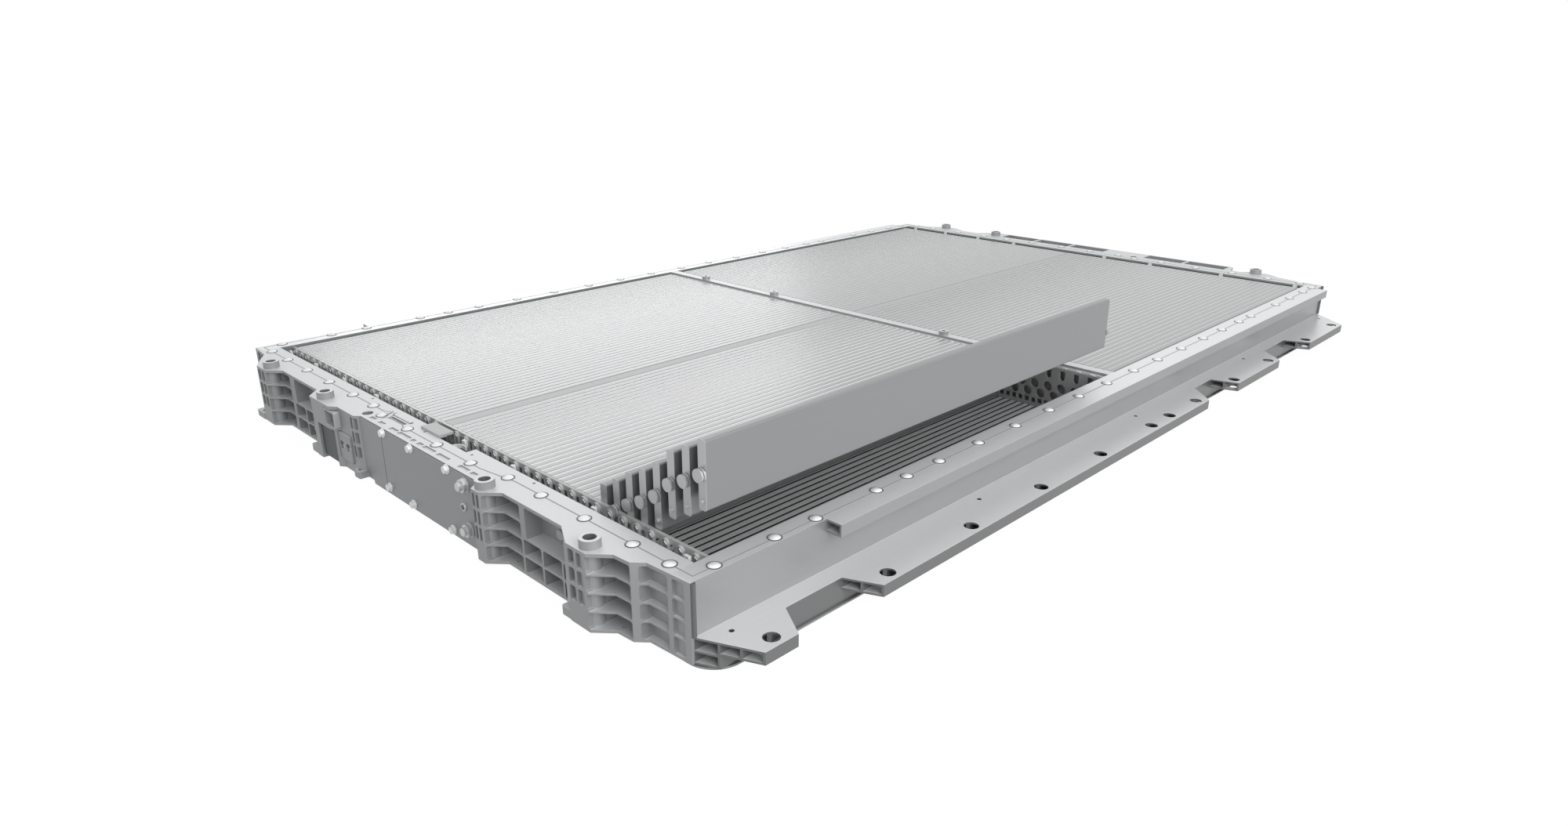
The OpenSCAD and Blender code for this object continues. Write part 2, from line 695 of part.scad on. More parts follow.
// Arches on the outside of an end isolator, with its lip, foot, low front wall and posts
iso_front_l = end_room - rim_depth - 5.5;
iso_wall_t = 1.5;
iso_foot_t = 2;
arch_top = cell_z + cell_h;
arch_z0 = cell_z + term_high + iso_hole_d / 2 + 1;
arch_z1 = arch_top - 0.5;
clip_xs = [-590, -470, -345, -215, 86, 224, 421, 608];
function arch_xs() = concat(
    [for (i = [0 : floor(left_count / 2) - 1]) left_x(2 * i) + pitch / 2],
    [for (i = [0 : floor(right_count / 2) - 1]) right_x(2 * i) - pitch / 2]);
module arch_outline() {
    difference() {
        union() {
            translate([0, arch_z1 - arch_r]) circle(arch_r);
            translate([-arch_r, arch_z0]) square([2 * arch_r, arch_z1 - arch_r - arch_z0]);
        }
        translate([0, arch_z1 - arch_r]) circle(arch_r - arch_t);
        translate([-arch_r + arch_t, arch_z0 - cut])
            square([2 * (arch_r - arch_t), arch_z1 - arch_r - arch_z0 + cut]);
    }
}
module end_isolator(flip) {
    plate_y = -iso_fit - iso_t;
    iso_plate(flip);
    translate([-iso_x, plate_y, arch_top - lip_t]) cube([2 * iso_x, iso_t, lip_t]);
    translate([-iso_x, -iso_front_l, floor_t])
        cube([2 * iso_x, iso_front_l - iso_fit, iso_foot_t]);
    translate([-iso_x, -iso_front_l, floor_t]) cube([2 * iso_x, iso_wall_t, iso_wall_h]);
    for (x = arch_xs())
        translate([x, plate_y - arch_depth, 0]) along_y(0, arch_depth) arch_outline();
    for (x = clip_xs) translate([x - clip_w / 2, -iso_front_l, floor_t])
        cube([clip_w, iso_wall_t, arch_top - floor_t - 2]);
}
module isolator_front() {
    color("whitesmoke", 0.5) in_case() translate([0, front_y, 0]) end_isolator(0);
}
module isolator_rear() {
    color("whitesmoke", 0.5) in_case() translate([0, rear_y + cell_l, 0])
        mirror([0, 1, 0]) end_isolator(1);
}
module isolator_mid_front() {
    color("dimgray") in_case() translate([0, front_y + cell_l, 0]) mirror([0, 1, 0]) iso_plate(1);
}
module isolator_mid_rear() {
    color("dimgray") in_case() translate([0, rear_y, 0]) iso_plate(0);
}

// Busbars join the terminals of each pair of neighbouring cells
module busbar_row(first_right) {
    z0 = cell_z + term_low - 8;
    z1 = cell_z + term_high + 8;
    xs = concat([for (i = [0 : floor(left_count / 2) - 1]) left_x(2 * i) + pitch / 2],
        [for (i = [first_right : floor(right_count / 2) - 1]) right_x(2 * i) - pitch / 2]);
    translate([0, -term_l - bus_t, 0]) along_y(0, bus_t) for (x = xs)
        round_rect(x - pitch + bus_gap, z0, x + pitch - bus_gap, z1, 3);
}
module busbars_front() {
    color("silver") in_case() translate([0, front_y, 0]) busbar_row(ceil(bay_slots / 2));
}
module busbars_mid_front() {
    color("silver") in_case() translate([0, front_y + cell_l, 0]) mirror([0, 1, 0])
        busbar_row(ceil(bay_slots / 2));
}
module busbars_mid_rear() { color("silver") in_case() translate([0, rear_y, 0]) busbar_row(0); }
module busbars_rear() {
    color("silver") in_case() translate([0, rear_y + cell_l, 0]) mirror([0, 1, 0])
        busbar_row(0);
}

// Small clips that grip the posts of an end isolator
clip_grip = 1.5;
module clips() {
    for (x = clip_xs) translate([x - clip_w / 2, -iso_front_l, arch_top - 2]) {
        translate([0, -clip_grip, 0]) cube([clip_w, iso_wall_t + 2 * clip_grip, clip_h]);
        for (y = [-clip_grip, iso_wall_t]) translate([0, y, -clip_h])
            cube([clip_w, clip_grip, clip_h]);
    }
}
module isolator_clips_front() {
    color("white") in_case() translate([0, front_y, 0]) clips();
}
module isolator_clips_rear() {
    color("white") in_case() translate([0, rear_y + cell_l, 0]) mirror([0, 1, 0]) clips();
}

// Connector at the middle of the front isolator: a cap over a housing, in the rim's notch
conn_l = 58;
conn_w = 24;
conn_h = 22;
conn_cap_t = 4;
conn_fit = 0.3;
module connector_cap() {
    color("lightgray") in_case() translate([notch_x0 + 2, notch_y + conn_fit, case_h])
        difference() {
            union() {
                cube([conn_l, conn_w, conn_cap_t]);
                translate([0, 0, -conn_h]) cube([conn_l, conn_w / 2, conn_h]);
            }
            translate([conn_l - 8, 3, -6]) cube([8 + cut, conn_w / 2 - 6, 4]);
        }
}

// Fittings on the middle face
module on_face() {
    translate([face_left_x, -face_reach, 0]) children();
}
cover_seam = 75;
cover_right_x1 = cover_seam + cover_right_l;
stub_x = cover_right_x1 - 30;
cover_z0 = -3;
cover_z1 = case_h - 1.5;
cover_step_x = 25;
module cover_plate_left() {
    color("gray") in_case() on_face() along_y(-cover_t, 0)
        polygon([[0, cover_z1], [cover_seam - cover_gap, cover_z1],
            [cover_seam - cover_gap, cover_z0], [cover_step_x, cover_z0],
            [cover_step_x - 2, cover_z0 + 9], [0, cover_z0 + 14]]);
}
stub_z = [case_h - 14, 24];
port_x = cover_right_x1 - 41;
port_z = 56;
port_d = 9;
cover_screw_places = [[9, cover_z1 - 4], [100, cover_z1 - 4], [212, cover_z1 - 4],
    [9, 10], [89, 6], [212, 6]];
module cover_plate_right() {
    color("gray") in_case() on_face() difference() {
        along_y(-cover_t, 0) translate([cover_seam, cover_z0])
            square([cover_right_l, cover_z1 - cover_z0]);
        translate([port_x, cut, port_z]) rotate([90, 0, 0])
            cylinder(h = cover_t + 2 * cut, d = port_d);
    }
}
module cover_screws() {
    color("silver") in_case() on_face() for (p = cover_screw_places)
        translate([cover_seam + p[0], -cover_t, p[1]]) rotate([90, 0, 0]) {
            cylinder(h = 1.5, d = cover_washer_d);
            cylinder(h = 6, d = cover_washer_d * 0.75);
        }
}
module port_stubs() {
    color("silver") in_case() on_face() for (z = stub_z)
        translate([stub_x, -cover_t, z]) rotate([90, 0, 0]) difference() {
            union() {
                cylinder(h = 2, d = stub_d + 2);
                cylinder(h = stub_l, d = stub_d);
            }
            translate([0, 0, 3]) cylinder(h = stub_l, d = stub_d * 0.6);
        }
}

power_x0 = -270;
power_x1 = -211;
power_reach = 40;
module power_connector() {
    color([0.25, 0.25, 0.26]) in_case() {
        along_y(-power_reach + 2, back_y)
            round_rect(power_x0 + 1, 2, power_x1 - 1, power_z1 - 1, pocket_r - 1);
        along_y(-power_reach - 2, -power_reach + 2)
            round_rect(power_x0 + 3, 7, power_x1 - 3, power_z1 - 4, pocket_r);
    }
}
term_x0 = -207;
term_x1 = -160;
term_z0 = 16;
term_z1 = 66;
term_reach = 39;
module terminal_plate() {
    w = term_x1 - term_x0 - 2;
    hole_z = (term_z1 - term_z0) / 2;
    color("lightgray") in_case() translate([term_x0 + 1, -term_reach, term_z0 + 1])
        difference() {
            along_y(0, term_reach + back_y)
                round_rect(0, 0, w, term_z1 - term_z0 - 2, pocket_r - 1);
            for (x = [w * 0.24, w * 0.76]) translate([x, -cut, hole_z]) rotate([-90, 0, 0])
                cylinder(h = 13, d = w * 0.36);
            for (x = [w * 0.24, w * 0.76]) translate([x, 5, hole_z]) rotate([-90, 0, 0])
                cylinder(h = 15, d = w * 0.14);
        }
}
signal_x0 = -238;
signal_x1 = -195;
signal_z0 = power_z1 + 4;
signal_z1 = case_h - top_t - 1;
module signal_connector() {
    color("silver") in_case() translate([signal_x0 + 1, -lug_reach, signal_z0 + 1])
        difference() {
            along_y(0, lug_reach + back_y - 8) round_rect(0, 0, signal_x1 - signal_x0 - 2,
                signal_z1 - signal_z0 - 2, pocket_r - 1);
            translate([3, -cut, 3])
                cube([signal_x1 - signal_x0 - 8, 26, signal_z1 - signal_z0 - 8]);
        }
}
vent_x = sleeve_in_x + 150;
module vent_valve() {
    color("silver") in_case() translate([vent_x, back_y - 4, 82]) rotate([90, 0, 0]) {
        cylinder(h = 4, d = 22);
        cylinder(h = 14, d = 15);
    }
}

module sleeves(xs) {
    difference() {
        sleeve_columns(xs, sleeve_d, 0, case_h + boss_h);
        sleeve_columns(xs, sleeve_bore_d, cut, case_h + boss_h + cut);
    }
}
module mount_sleeves_front() { color("silver") in_case() sleeves(front_sleeves); }
module mount_sleeves_rear() { color("silver") in_case() at_rear() sleeves(rear_sleeves); }

// Domed screws on the rim. The dome is a slice of a sphere.
dome_r = (pow(screw_head_d / 2, 2) + pow(screw_head_h, 2)) / (2 * screw_head_h);
module rim_screw(grip) {
    intersection() {
        translate([0, 0, screw_head_h - dome_r]) sphere(dome_r);
        cylinder(h = screw_head_h + cut, d = screw_head_d);
    }
    translate([0, 0, -grip]) cylinder(h = grip, d = screw_d);
}
module end_screws() {
    for (x = end_screw_x) translate([x, screw_y(x), case_h]) rim_screw(top_t);
}
module side_screws() {
    for (y = side_screw_y) translate([hx - screw_edge, y, case_h]) rim_screw(rail_wall);
}
module rim_screws_front() { color("white") in_case() end_screws(); }
module rim_screws_rear() { color("white") in_case() at_rear() end_screws(); }
module rim_screws_right() { color("white") in_case() side_screws(); }
module rim_screws_left() { color("white") in_case() mirror([1, 0, 0]) side_screws(); }

// Switchgear in the cavity behind the cover plates
module contactors() {
    color([0.2, 0.2, 0.22]) in_case() for (x = [cavity_x0 + 8, cavity_x0 + 62])
        translate([x, -22, cavity_z0]) {
            cube([46, 22 + back_y, 60]);
            for (d = [12, 34]) translate([d, 11, 60]) cylinder(h = 8, d = 8);
        }
}
module main_fuse() {
    color("wheat") in_case() translate([cavity_x0 + 124, -8, cavity_z0]) {
        cube([76, 6 + back_y, 4]);
        translate([10, 2, 22]) rotate([0, 90, 0]) cylinder(h = 56, d = 22);
        for (x = [4, 66]) translate([x, -1, 4]) cube([6, 12, 30]);
    }
}
module current_sensor() {
    color([0.2, 0.2, 0.22]) in_case() translate([cavity_x0 + 212, -14, cavity_z0]) difference() {
        cube([34, 14 + back_y, 46]);
        translate([17, -cut, 24]) rotate([-90, 0, 0]) cylinder(h = 60, d = 16);
    }
}
module control_board() {
    color("darkgreen") in_case() translate([cavity_x0 + 256, back_y - 8, cavity_z0]) {
        cube([54, 2, 78]);
        for (z = [8, 66], x = [6, 44]) translate([x, 2, z]) rotate([-90, 0, 0])
            cylinder(h = 6, d = 5);
        translate([12, -7, 24]) cube([30, 7, 30]);
    }
}

bottom_plate();
bottom_seal();
floor_panel();
floor_strips_front();
floor_strips_rear();
rail_left();
rail_right();
front_frame();
rear_frame();
middle_beam();
spacer_strip_front();
spacer_strip_rear();
cells_front_left();
cells_front_right();
cells_rear_left();
cells_rear_right();
lifted_cell(1);  // lifted_cell_1
lifted_cell(2);  // lifted_cell_2
lifted_cell(3);  // lifted_cell_3
lifted_cell(4);  // lifted_cell_4
lifted_cell(5);  // lifted_cell_5
lifted_cell(6);  // lifted_cell_6
lifted_cell(7);  // lifted_cell_7
lifted_cell(8);  // lifted_cell_8
isolator_front();
isolator_mid_front();
isolator_mid_rear();
isolator_rear();
busbars_front();
busbars_mid_front();
busbars_mid_rear();
busbars_rear();
isolator_clips_front();
isolator_clips_rear();
connector_cap();
cover_plate_left();
cover_plate_right();
cover_screws();
port_stubs();
power_connector();
terminal_plate();
signal_connector();
vent_valve();
mount_sleeves_front();
mount_sleeves_rear();
rim_screws_front();
rim_screws_rear();
rim_screws_left();
rim_screws_right();
contactors();
main_fuse();
current_sensor();
control_board();
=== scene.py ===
"""Looks of a vehicle battery pack with its lid off: finishes, small fittings, studio and camera."""

import json
import logging
import math
from dataclasses import dataclass, field
from enum import Enum
from typing import Optional, Sequence, Union

import bmesh
import bpy
from mathutils import Matrix, Vector


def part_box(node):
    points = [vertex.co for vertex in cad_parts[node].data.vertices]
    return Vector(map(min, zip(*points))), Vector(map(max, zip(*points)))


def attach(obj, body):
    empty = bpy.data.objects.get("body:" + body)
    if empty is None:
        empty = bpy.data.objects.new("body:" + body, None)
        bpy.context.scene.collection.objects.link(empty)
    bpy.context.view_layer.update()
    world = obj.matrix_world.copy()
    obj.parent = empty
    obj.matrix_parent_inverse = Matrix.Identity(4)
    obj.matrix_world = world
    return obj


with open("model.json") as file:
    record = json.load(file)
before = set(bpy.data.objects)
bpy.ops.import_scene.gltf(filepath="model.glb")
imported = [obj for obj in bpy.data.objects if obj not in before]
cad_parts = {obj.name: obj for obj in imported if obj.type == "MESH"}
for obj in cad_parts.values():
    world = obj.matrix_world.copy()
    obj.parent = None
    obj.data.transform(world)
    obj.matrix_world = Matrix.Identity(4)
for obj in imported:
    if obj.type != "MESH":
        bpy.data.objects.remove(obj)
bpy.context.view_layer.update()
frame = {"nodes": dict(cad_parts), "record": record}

logging.basicConfig(level=logging.INFO, format="%(message)s")
log = logging.getLogger("battery_pack")

MM = 0.001
Colour = tuple[float, float, float]
Point = tuple[float, float]
Place = tuple[float, float, float]


class Grain(Enum):
    """The fine structure of a surface."""

    PLAIN = "plain"
    CAST = "cast"
    BRUSHED_X = "brushed_x"
    BRUSHED_Y = "brushed_y"
    MOULDED = "moulded"


class Slot(Enum):
    """The record's material slots, named on the new pieces."""

    CAST = "cast_aluminium"
    CLEAR = "clear_plastic"
    RUBBER = "black_rubber"
    SCREW = "screw_steel"
    WHITE = "white_plastic"


@dataclass(frozen=True)
class Finish:
    """How one kind of surface looks.

    Attributes:
        name: The name of the material.
        colour: The base colour, linear.
        rough: The mean roughness.
        metal: How metallic the surface is, from 0 to 1.
        grain: The fine structure.
        depth: How far the grain varies the colour and the roughness, from 0 to 1.
        edge: Radius of the softened edges in metres, or 0 for none.
        coat: Weight of a clear coat.
        alpha: Opacity.
        top_light: Painted light: how much brighter the flat tops are, or 1.
        low_side_shade: Painted shade: how bright the upright faces from the flange's top down are,
            or 1.
        ends: How much brighter the ends of the lifted cells and their terminals are, or 1.
    """

    name: str
    colour: Colour
    rough: float
    metal: float = 0.0
    grain: Grain = Grain.PLAIN
    depth: float = 0.0
    edge: float = 0.0
    coat: float = 0.0
    alpha: float = 1.0
    top_light: float = 1.0
    low_side_shade: float = 1.0
    ends: float = 1.0


def grey(level: float, blue: float = 0.01) -> Colour:
    """A neutral colour with a slight blue cast.

    Args:
        level: The linear brightness.
        blue: How much brighter the blue part is.

    Returns:
        The linear colour.
    """
    return (level, level + blue / 2, level + blue)


# Some of these finishes paint light into the colour: flat tops brighter for the light that falls on
# them, and the rails' upright faces from the flange's top down darker for their shade.
EXTRUDED = Finish(
    "extruded_aluminium", grey(0.40), 0.40, 0.35, Grain.BRUSHED_Y,
    depth=0.06, edge=0.8 * MM, top_light=1.7,
)
FLANGED = Finish(
    "rail_aluminium", grey(0.33), 0.35, 0.35, Grain.BRUSHED_Y,
    depth=0.04, edge=0.8 * MM, top_light=2.4, low_side_shade=0.5,
)
CAST = Finish(
    "cast_aluminium", grey(0.35), 0.52, 0.3, Grain.CAST,
    depth=0.06, edge=1.2 * MM, top_light=2.05,
)
CELL_CAN = Finish("cell_can", grey(0.37), 0.30, 0.6, Grain.BRUSHED_Y, depth=0.02)
# A darker copy of the cell can's finish for the lifted cells: painted shade on their sides; their
# ends are brightened.
SHADED_LIFTED_CAN = Finish("lifted_can_shaded", grey(0.27), 0.32, 0.4, Grain.BRUSHED_Y, depth=0.03, ends=1.9)
BUSBAR = Finish("busbar_aluminium", grey(0.5), 0.38, 0.9, Grain.BRUSHED_X, depth=0.08)
COATED_PLATE = Finish(
    "plate_grey", grey(0.3), 0.45, 0.3, Grain.CAST, depth=0.04, edge=0.8 * MM,
)
COVER = Finish(
    "cover_grey", grey(0.29, 0.02), 0.45, 0.3, Grain.CAST, depth=0.03, edge=0.6 * MM,
)
SCREW = Finish("screw_steel", grey(0.9), 0.35, 0.2)
PLUG = Finish("plug_steel", grey(0.6), 0.3, 0.4, edge=0.8 * MM)
SLEEVE = Finish("sleeve_steel", grey(0.6), 0.3, 0.85, edge=0.4 * MM)
FUSE = Finish("fuse_ceramic", (0.72, 0.68, 0.6), 0.3)
BOARD = Finish("board_green", (0.03, 0.14, 0.06), 0.35, coat=0.5)
CLEAR = Finish("clear_plastic", grey(0.66), 0.22, coat=0.4, alpha=0.72)
# Painted highlight on the shoulders of the clear arches.
GLINT = Finish("arch_highlight", grey(0.95), 0.2, coat=0.4)
DARK_MOULDED = Finish(
    "dark_plastic", grey(0.045), 0.5, 0.0, Grain.MOULDED, depth=0.1, edge=0.8 * MM,
)
WHITE_MOULDED = Finish("white_plastic", grey(0.8), 0.4, 0.0, Grain.MOULDED, depth=0.04)
LIGHT_MOULDED = Finish(
    "light_plastic", grey(0.5), 0.45, 0.1, Grain.MOULDED, depth=0.05, edge=0.8 * MM,
)
PERFORATED = Finish("perforated_plastic", grey(0.46), 0.45, 0.1, Grain.MOULDED, depth=0.04)
STRIP = Finish("strip_plastic", grey(0.72), 0.35, 0.0, Grain.MOULDED, depth=0.03)
PAD = Finish("grey_pad", grey(0.88), 0.5, 0.1, Grain.MOULDED, depth=0.04)
# Painted highlights: white at the front cells and beside the beam, a dimmer grey at the rear cells
# where less light falls.
HIGHLIGHT_WHITE = Finish("film_white", grey(0.95), 0.35)
HIGHLIGHT_FAR = Finish("film_grey", grey(0.78), 0.4)
RUBBER = Finish("black_rubber", grey(0.02, 0.0), 0.7, 0.0, Grain.MOULDED, depth=0.1)
# Near-black used as painted shade in the rim's slot and holes, in the port's bore and round the rim
# screws, and for the dark corner seams.
SEAM_AND_SHADE = Finish("dark_seam_and_shade", grey(0.12), 0.6)
SEAL_LINE = Finish("seal_line", grey(0.3), 0.6)

SLOT_FINISHES: dict[str, Finish] = {
    finish.name: finish
    for finish in (
        EXTRUDED, CAST, CELL_CAN, BUSBAR, CLEAR, DARK_MOULDED, WHITE_MOULDED, LIGHT_MOULDED,
        PAD, COATED_PLATE, RUBBER, SCREW, SLEEVE, COVER, FUSE, BOARD,
    )
}
NODE_FINISHES: dict[str, Finish] = {
    "rail_left": FLANGED,
    "rail_right": FLANGED,
    "port_stubs": PLUG,
    "isolator_mid_front": PERFORATED,
    "isolator_mid_rear": PERFORATED,
}
LIFTED_PREFIX = "lifted_cell"

# Millimetres from one cell to the next, between two cells, and along a cell's terminal.
CELL_PITCH = 14.3
CELL_GAP = 0.8
TERMINAL_REACH = 7.6
# Millimetres by which pieces that lie on the rim clear it, so that no two faces coincide.
CLEARANCE = 0.02


class Case:
    """The case's own frame: X from its middle, Y from the rails' fronts, Z from their undersides.

    Attributes:
        to_world: Turns millimetres in this frame into metres in the world.
        length: The rails' length in millimetres.
        height: The rails' height in millimetres.
        half_width: Half of the front frame's width in millimetres.
        rim: The height of the rim in the world, in metres.
    """

    def __init__(self) -> None:
        """Reads the places of the rails and of the front frame."""
        low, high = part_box("rail_right")
        self.to_world = Matrix.Translation((0.0, low[1], low[2])) @ Matrix.Scale(MM, 4)
        self.length = (high[1] - low[1]) / MM
        self.height = (high[2] - low[2]) / MM
        self.half_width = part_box("front_frame")[1][0] / MM
        self.rim = high[2]

    def box(self, node: str) -> tuple[Vector, Vector]:
        """The lowest and highest corners of a node, in millimetres in this frame."""
        low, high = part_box(node)
        return self.to_world.inverted() @ low, self.to_world.inverted() @ high


CASE = Case()


@dataclass(frozen=True)
class Field:
    """A shader value that adds, subtracts and multiplies like a number.

    Attributes:
        shader: The tree that the value is in.
        socket: The output that gives it.
    """

    shader: "Shader"
    socket: bpy.types.NodeSocket

    def __add__(self, other: Union["Field", float]) -> "Field":
        """This value plus another."""
        return self.shader.maths("ADD", self, other)

    def __sub__(self, other: Union["Field", float]) -> "Field":
        """This value less another."""
        return self.shader.maths("SUBTRACT", self, other)

    def __rsub__(self, other: float) -> "Field":
        """A number less this value."""
        return self.shader.maths("SUBTRACT", other, self)

    def __mul__(self, other: Union["Field", float]) -> "Field":
        """This value times another."""
        return self.shader.maths("MULTIPLY", self, other)

    def above(self, limit: float) -> "Field":
        """1 where this value is above a limit, and 0 elsewhere."""
        return self.shader.maths("GREATER_THAN", self, limit)

    __radd__ = __add__
    __rmul__ = __mul__


Value = Union[Field, float, Sequence[float]]


@dataclass(frozen=True)
class Shader:
    """Builds the node tree of one material or world.

    Attributes:
        tree: The node tree, which is emptied first.
    """

    tree: bpy.types.NodeTree

    def __post_init__(self) -> None:
        """Empties the tree."""
        self.tree.nodes.clear()

    def node(
        self, kind: str, inputs: Optional[dict[str, Value]] = None, **settings: object
    ) -> bpy.types.Node:
        """Makes one node.

        Args:
            kind: The node's type.
            inputs: What goes into its sockets, by their names or numbers.
            **settings: The node's own properties, which are set first.

        Returns:
            The node.
        """
        made = self.tree.nodes.new(kind)
        for name, setting in settings.items():
            setattr(made, name, setting)
        for name, value in (inputs or {}).items():
            socket = made.inputs[int(name)] if name.isdigit() else made.inputs[name]
            if isinstance(value, Field):
                self.tree.links.new(value.socket, socket)
            else:
                socket.default_value = value
        return made

    def field(
        self, kind: str, output: str, inputs: Optional[dict[str, Value]] = None, **settings: object
    ) -> Field:
        """One output of a new node, as a value to calculate with."""
        return Field(self, self.node(kind, inputs, **settings).outputs[output])

    def maths(self, operation: str, first: Value, second: Value) -> Field:
        """The result of a maths node."""
        inputs = {"0": first, "1": second}
        return self.field("ShaderNodeMath", "Value", inputs, operation=operation)

    def part(self, vector: Field, axis: str) -> Field:
        """One part of a vector."""
        return self.field("ShaderNodeSeparateXYZ", axis, {"Vector": vector})

    def place(self, stretch: Place = (1.0, 1.0, 1.0)) -> Field:
        """Object coordinates in metres, scaled on each axis."""
        at = self.field("ShaderNodeTexCoord", "Object")
        return self.field("ShaderNodeMapping", "Vector", {"Vector": at, "Scale": stretch})

    def noise(self, stretch: Place, detail: float = 3.0) -> Field:
        """Noise about 0, between about -0.5 and 0.5."""
        inputs = {"Vector": self.place(stretch), "Scale": 1.0, "Detail": detail}
        return self.field("ShaderNodeTexNoise", "Fac", inputs) - 0.5

    def mixed(self, share: Field, first: Field, second: Field) -> Field:
        """Two shaders mixed, the second by its share."""
        inputs = {"0": share, "1": first, "2": second}
        return self.field("ShaderNodeMixShader", "Shader", inputs)


# How often each grain varies in a metre along X, Y and Z, and the height of its bumps in metres.
GRAIN_STRETCH: dict[Grain, Place] = {
    Grain.CAST: (420.0, 420.0, 420.0),
    Grain.BRUSHED_X: (30.0, 900.0, 900.0),
    Grain.BRUSHED_Y: (900.0, 12.0, 900.0),
    Grain.MOULDED: (700.0, 700.0, 700.0),
}
BUMP_HEIGHT: dict[Grain, float] = {Grain.CAST: 0.12 * MM, Grain.MOULDED: 0.04 * MM}


@dataclass
class MaterialShop:
    """Makes each finish once and hands it out.

    Attributes:
        bump_strength: How strongly the bumps of a grain show.
        edge_samples: Samples of the softened edges.
        tint: How much more the grain varies the colour than the roughness.
        flat: How far the normal of a machined top points up, at the least.
        bright_end: How far in from its ends a lifted cell is bright, in millimetres.
        low_shade_drop: How far below the rim the sawn faces begin, in millimetres.
        made: The materials made so far, by name.
    """

    bump_strength: float = 0.5
    edge_samples: int = 4
    tint: float = 2.0
    # flat: How far the normal of a top that is painted brighter points up, at the least.
    flat: float = 0.9
    bright_end: float = 8.1
    # low_shade_drop: How far below the rim the faces painted darker for shade begin, in
    # millimetres.
    low_shade_drop: float = 72.3
    made: dict[str, bpy.types.Material] = field(default_factory=dict)

    def get(self, finish: Finish) -> bpy.types.Material:
        """The material of a finish.

        Args:
            finish: The finish.

        Returns:
            The material, made on the first call.
        """
        if finish.name not in self.made:
            self.made[finish.name] = self._make(finish)
        return self.made[finish.name]

    def _make(self, finish: Finish) -> bpy.types.Material:
        """Builds the material of a finish.

        Args:
            finish: The finish.

        Returns:
            The new material.
        """
        material = bpy.data.materials.new(finish.name)
        material.use_nodes = True
        material.diffuse_color = (*finish.colour, 1.0)
        shader = Shader(material.node_tree)
        inputs: dict[str, Value] = {
            "Base Color": (*finish.colour, 1.0),
            "Roughness": finish.rough,
            "Metallic": finish.metal,
            "Coat Weight": finish.coat,
            "Alpha": finish.alpha,
        }
        if finish.grain is not Grain.PLAIN:
            grain = shader.noise(GRAIN_STRETCH[finish.grain])
            inputs["Base Color"] = self._tinted(shader, finish, grain)
            inputs["Roughness"] = grain * finish.depth + finish.rough
        normal = self._normal(shader, finish)
        if normal is not None:
            inputs["Normal"] = normal
        surface = shader.field("ShaderNodeBsdfPrincipled", "BSDF", inputs)
        shader.node("ShaderNodeOutputMaterial", {"Surface": surface})
        return material

    def _tinted(self, shader: Shader, finish: Finish, grain: Field) -> Field:
        """The base colour: the grain, painted light on flat tops and painted shade on low upright
        faces.

        Args:
            shader: The tree that it is built in.
            finish: The finish.
            grain: The noise of its grain.

        Returns:
            The colour.
        """
        level = grain * (self.tint * finish.depth) + 1.0
        if finish.ends != 1.0:
            level = level * (self._lifted_ends(shader) * (finish.ends - 1.0) + 1.0)
        # Painted light: flat tops are brightened for the light that falls on them.
        if finish.top_light != 1.0:
            facing = shader.field("ShaderNodeNewGeometry", "Normal")
            top = shader.part(facing, "Z").above(self.flat)
            level = level * (top * (finish.top_light - 1.0) + 1.0)
            # Painted shade: upright faces from the flange's top down are darkened for the shade on
            # them.
            if finish.low_side_shade != 1.0:
                upper = shader.part(shader.place(), "Z").above(CASE.rim - self.low_shade_drop * MM)
                low_side_shade = 1.0 - shader.maths("MAXIMUM", top, upper)
                level = level * (1.0 - low_side_shade * (1.0 - finish.low_side_shade))
        inputs = {"Vector": finish.colour, "Scale": level}
        return shader.field("ShaderNodeVectorMath", "Vector", inputs, operation="SCALE")

    def _lifted_ends(self, shader: Shader) -> Field:
        """A mask of the ends of the lifted cells.

        Args:
            shader: The tree that it is built in.

        Returns:
            1 at the ends and 0 between them.
        """
        low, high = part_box(f"{LIFTED_PREFIX}_1")
        from_middle = shader.part(shader.place(), "Y") - (low[1] + high[1]) / 2
        reach = (high[1] - low[1]) / 2 - self.bright_end * MM
        return shader.maths("ABSOLUTE", from_middle, 0.0).above(reach)

    def _normal(self, shader: Shader, finish: Finish) -> Optional[Field]:
        """The normal with softened edges and the bumps of the grain.

        Args:
            shader: The tree that it is built in.
            finish: The finish.

        Returns:
            The normal, or None where the finish has neither.
        """
        normal: Optional[Field] = None
        if finish.edge > 0.0:
            inputs: dict[str, Value] = {"Radius": finish.edge}
            normal = shader.field(
                "ShaderNodeBevel", "Normal", inputs, samples=self.edge_samples,
            )
        if finish.grain in BUMP_HEIGHT:
            inputs = {
                "Strength": self.bump_strength,
                "Distance": BUMP_HEIGHT[finish.grain],
                "Height": shader.noise(GRAIN_STRETCH[finish.grain]),
            }
            if normal is not None:
                inputs["Normal"] = normal
            normal = shader.field("ShaderNodeBump", "Normal", inputs)
        return normal


SHOP = MaterialShop()


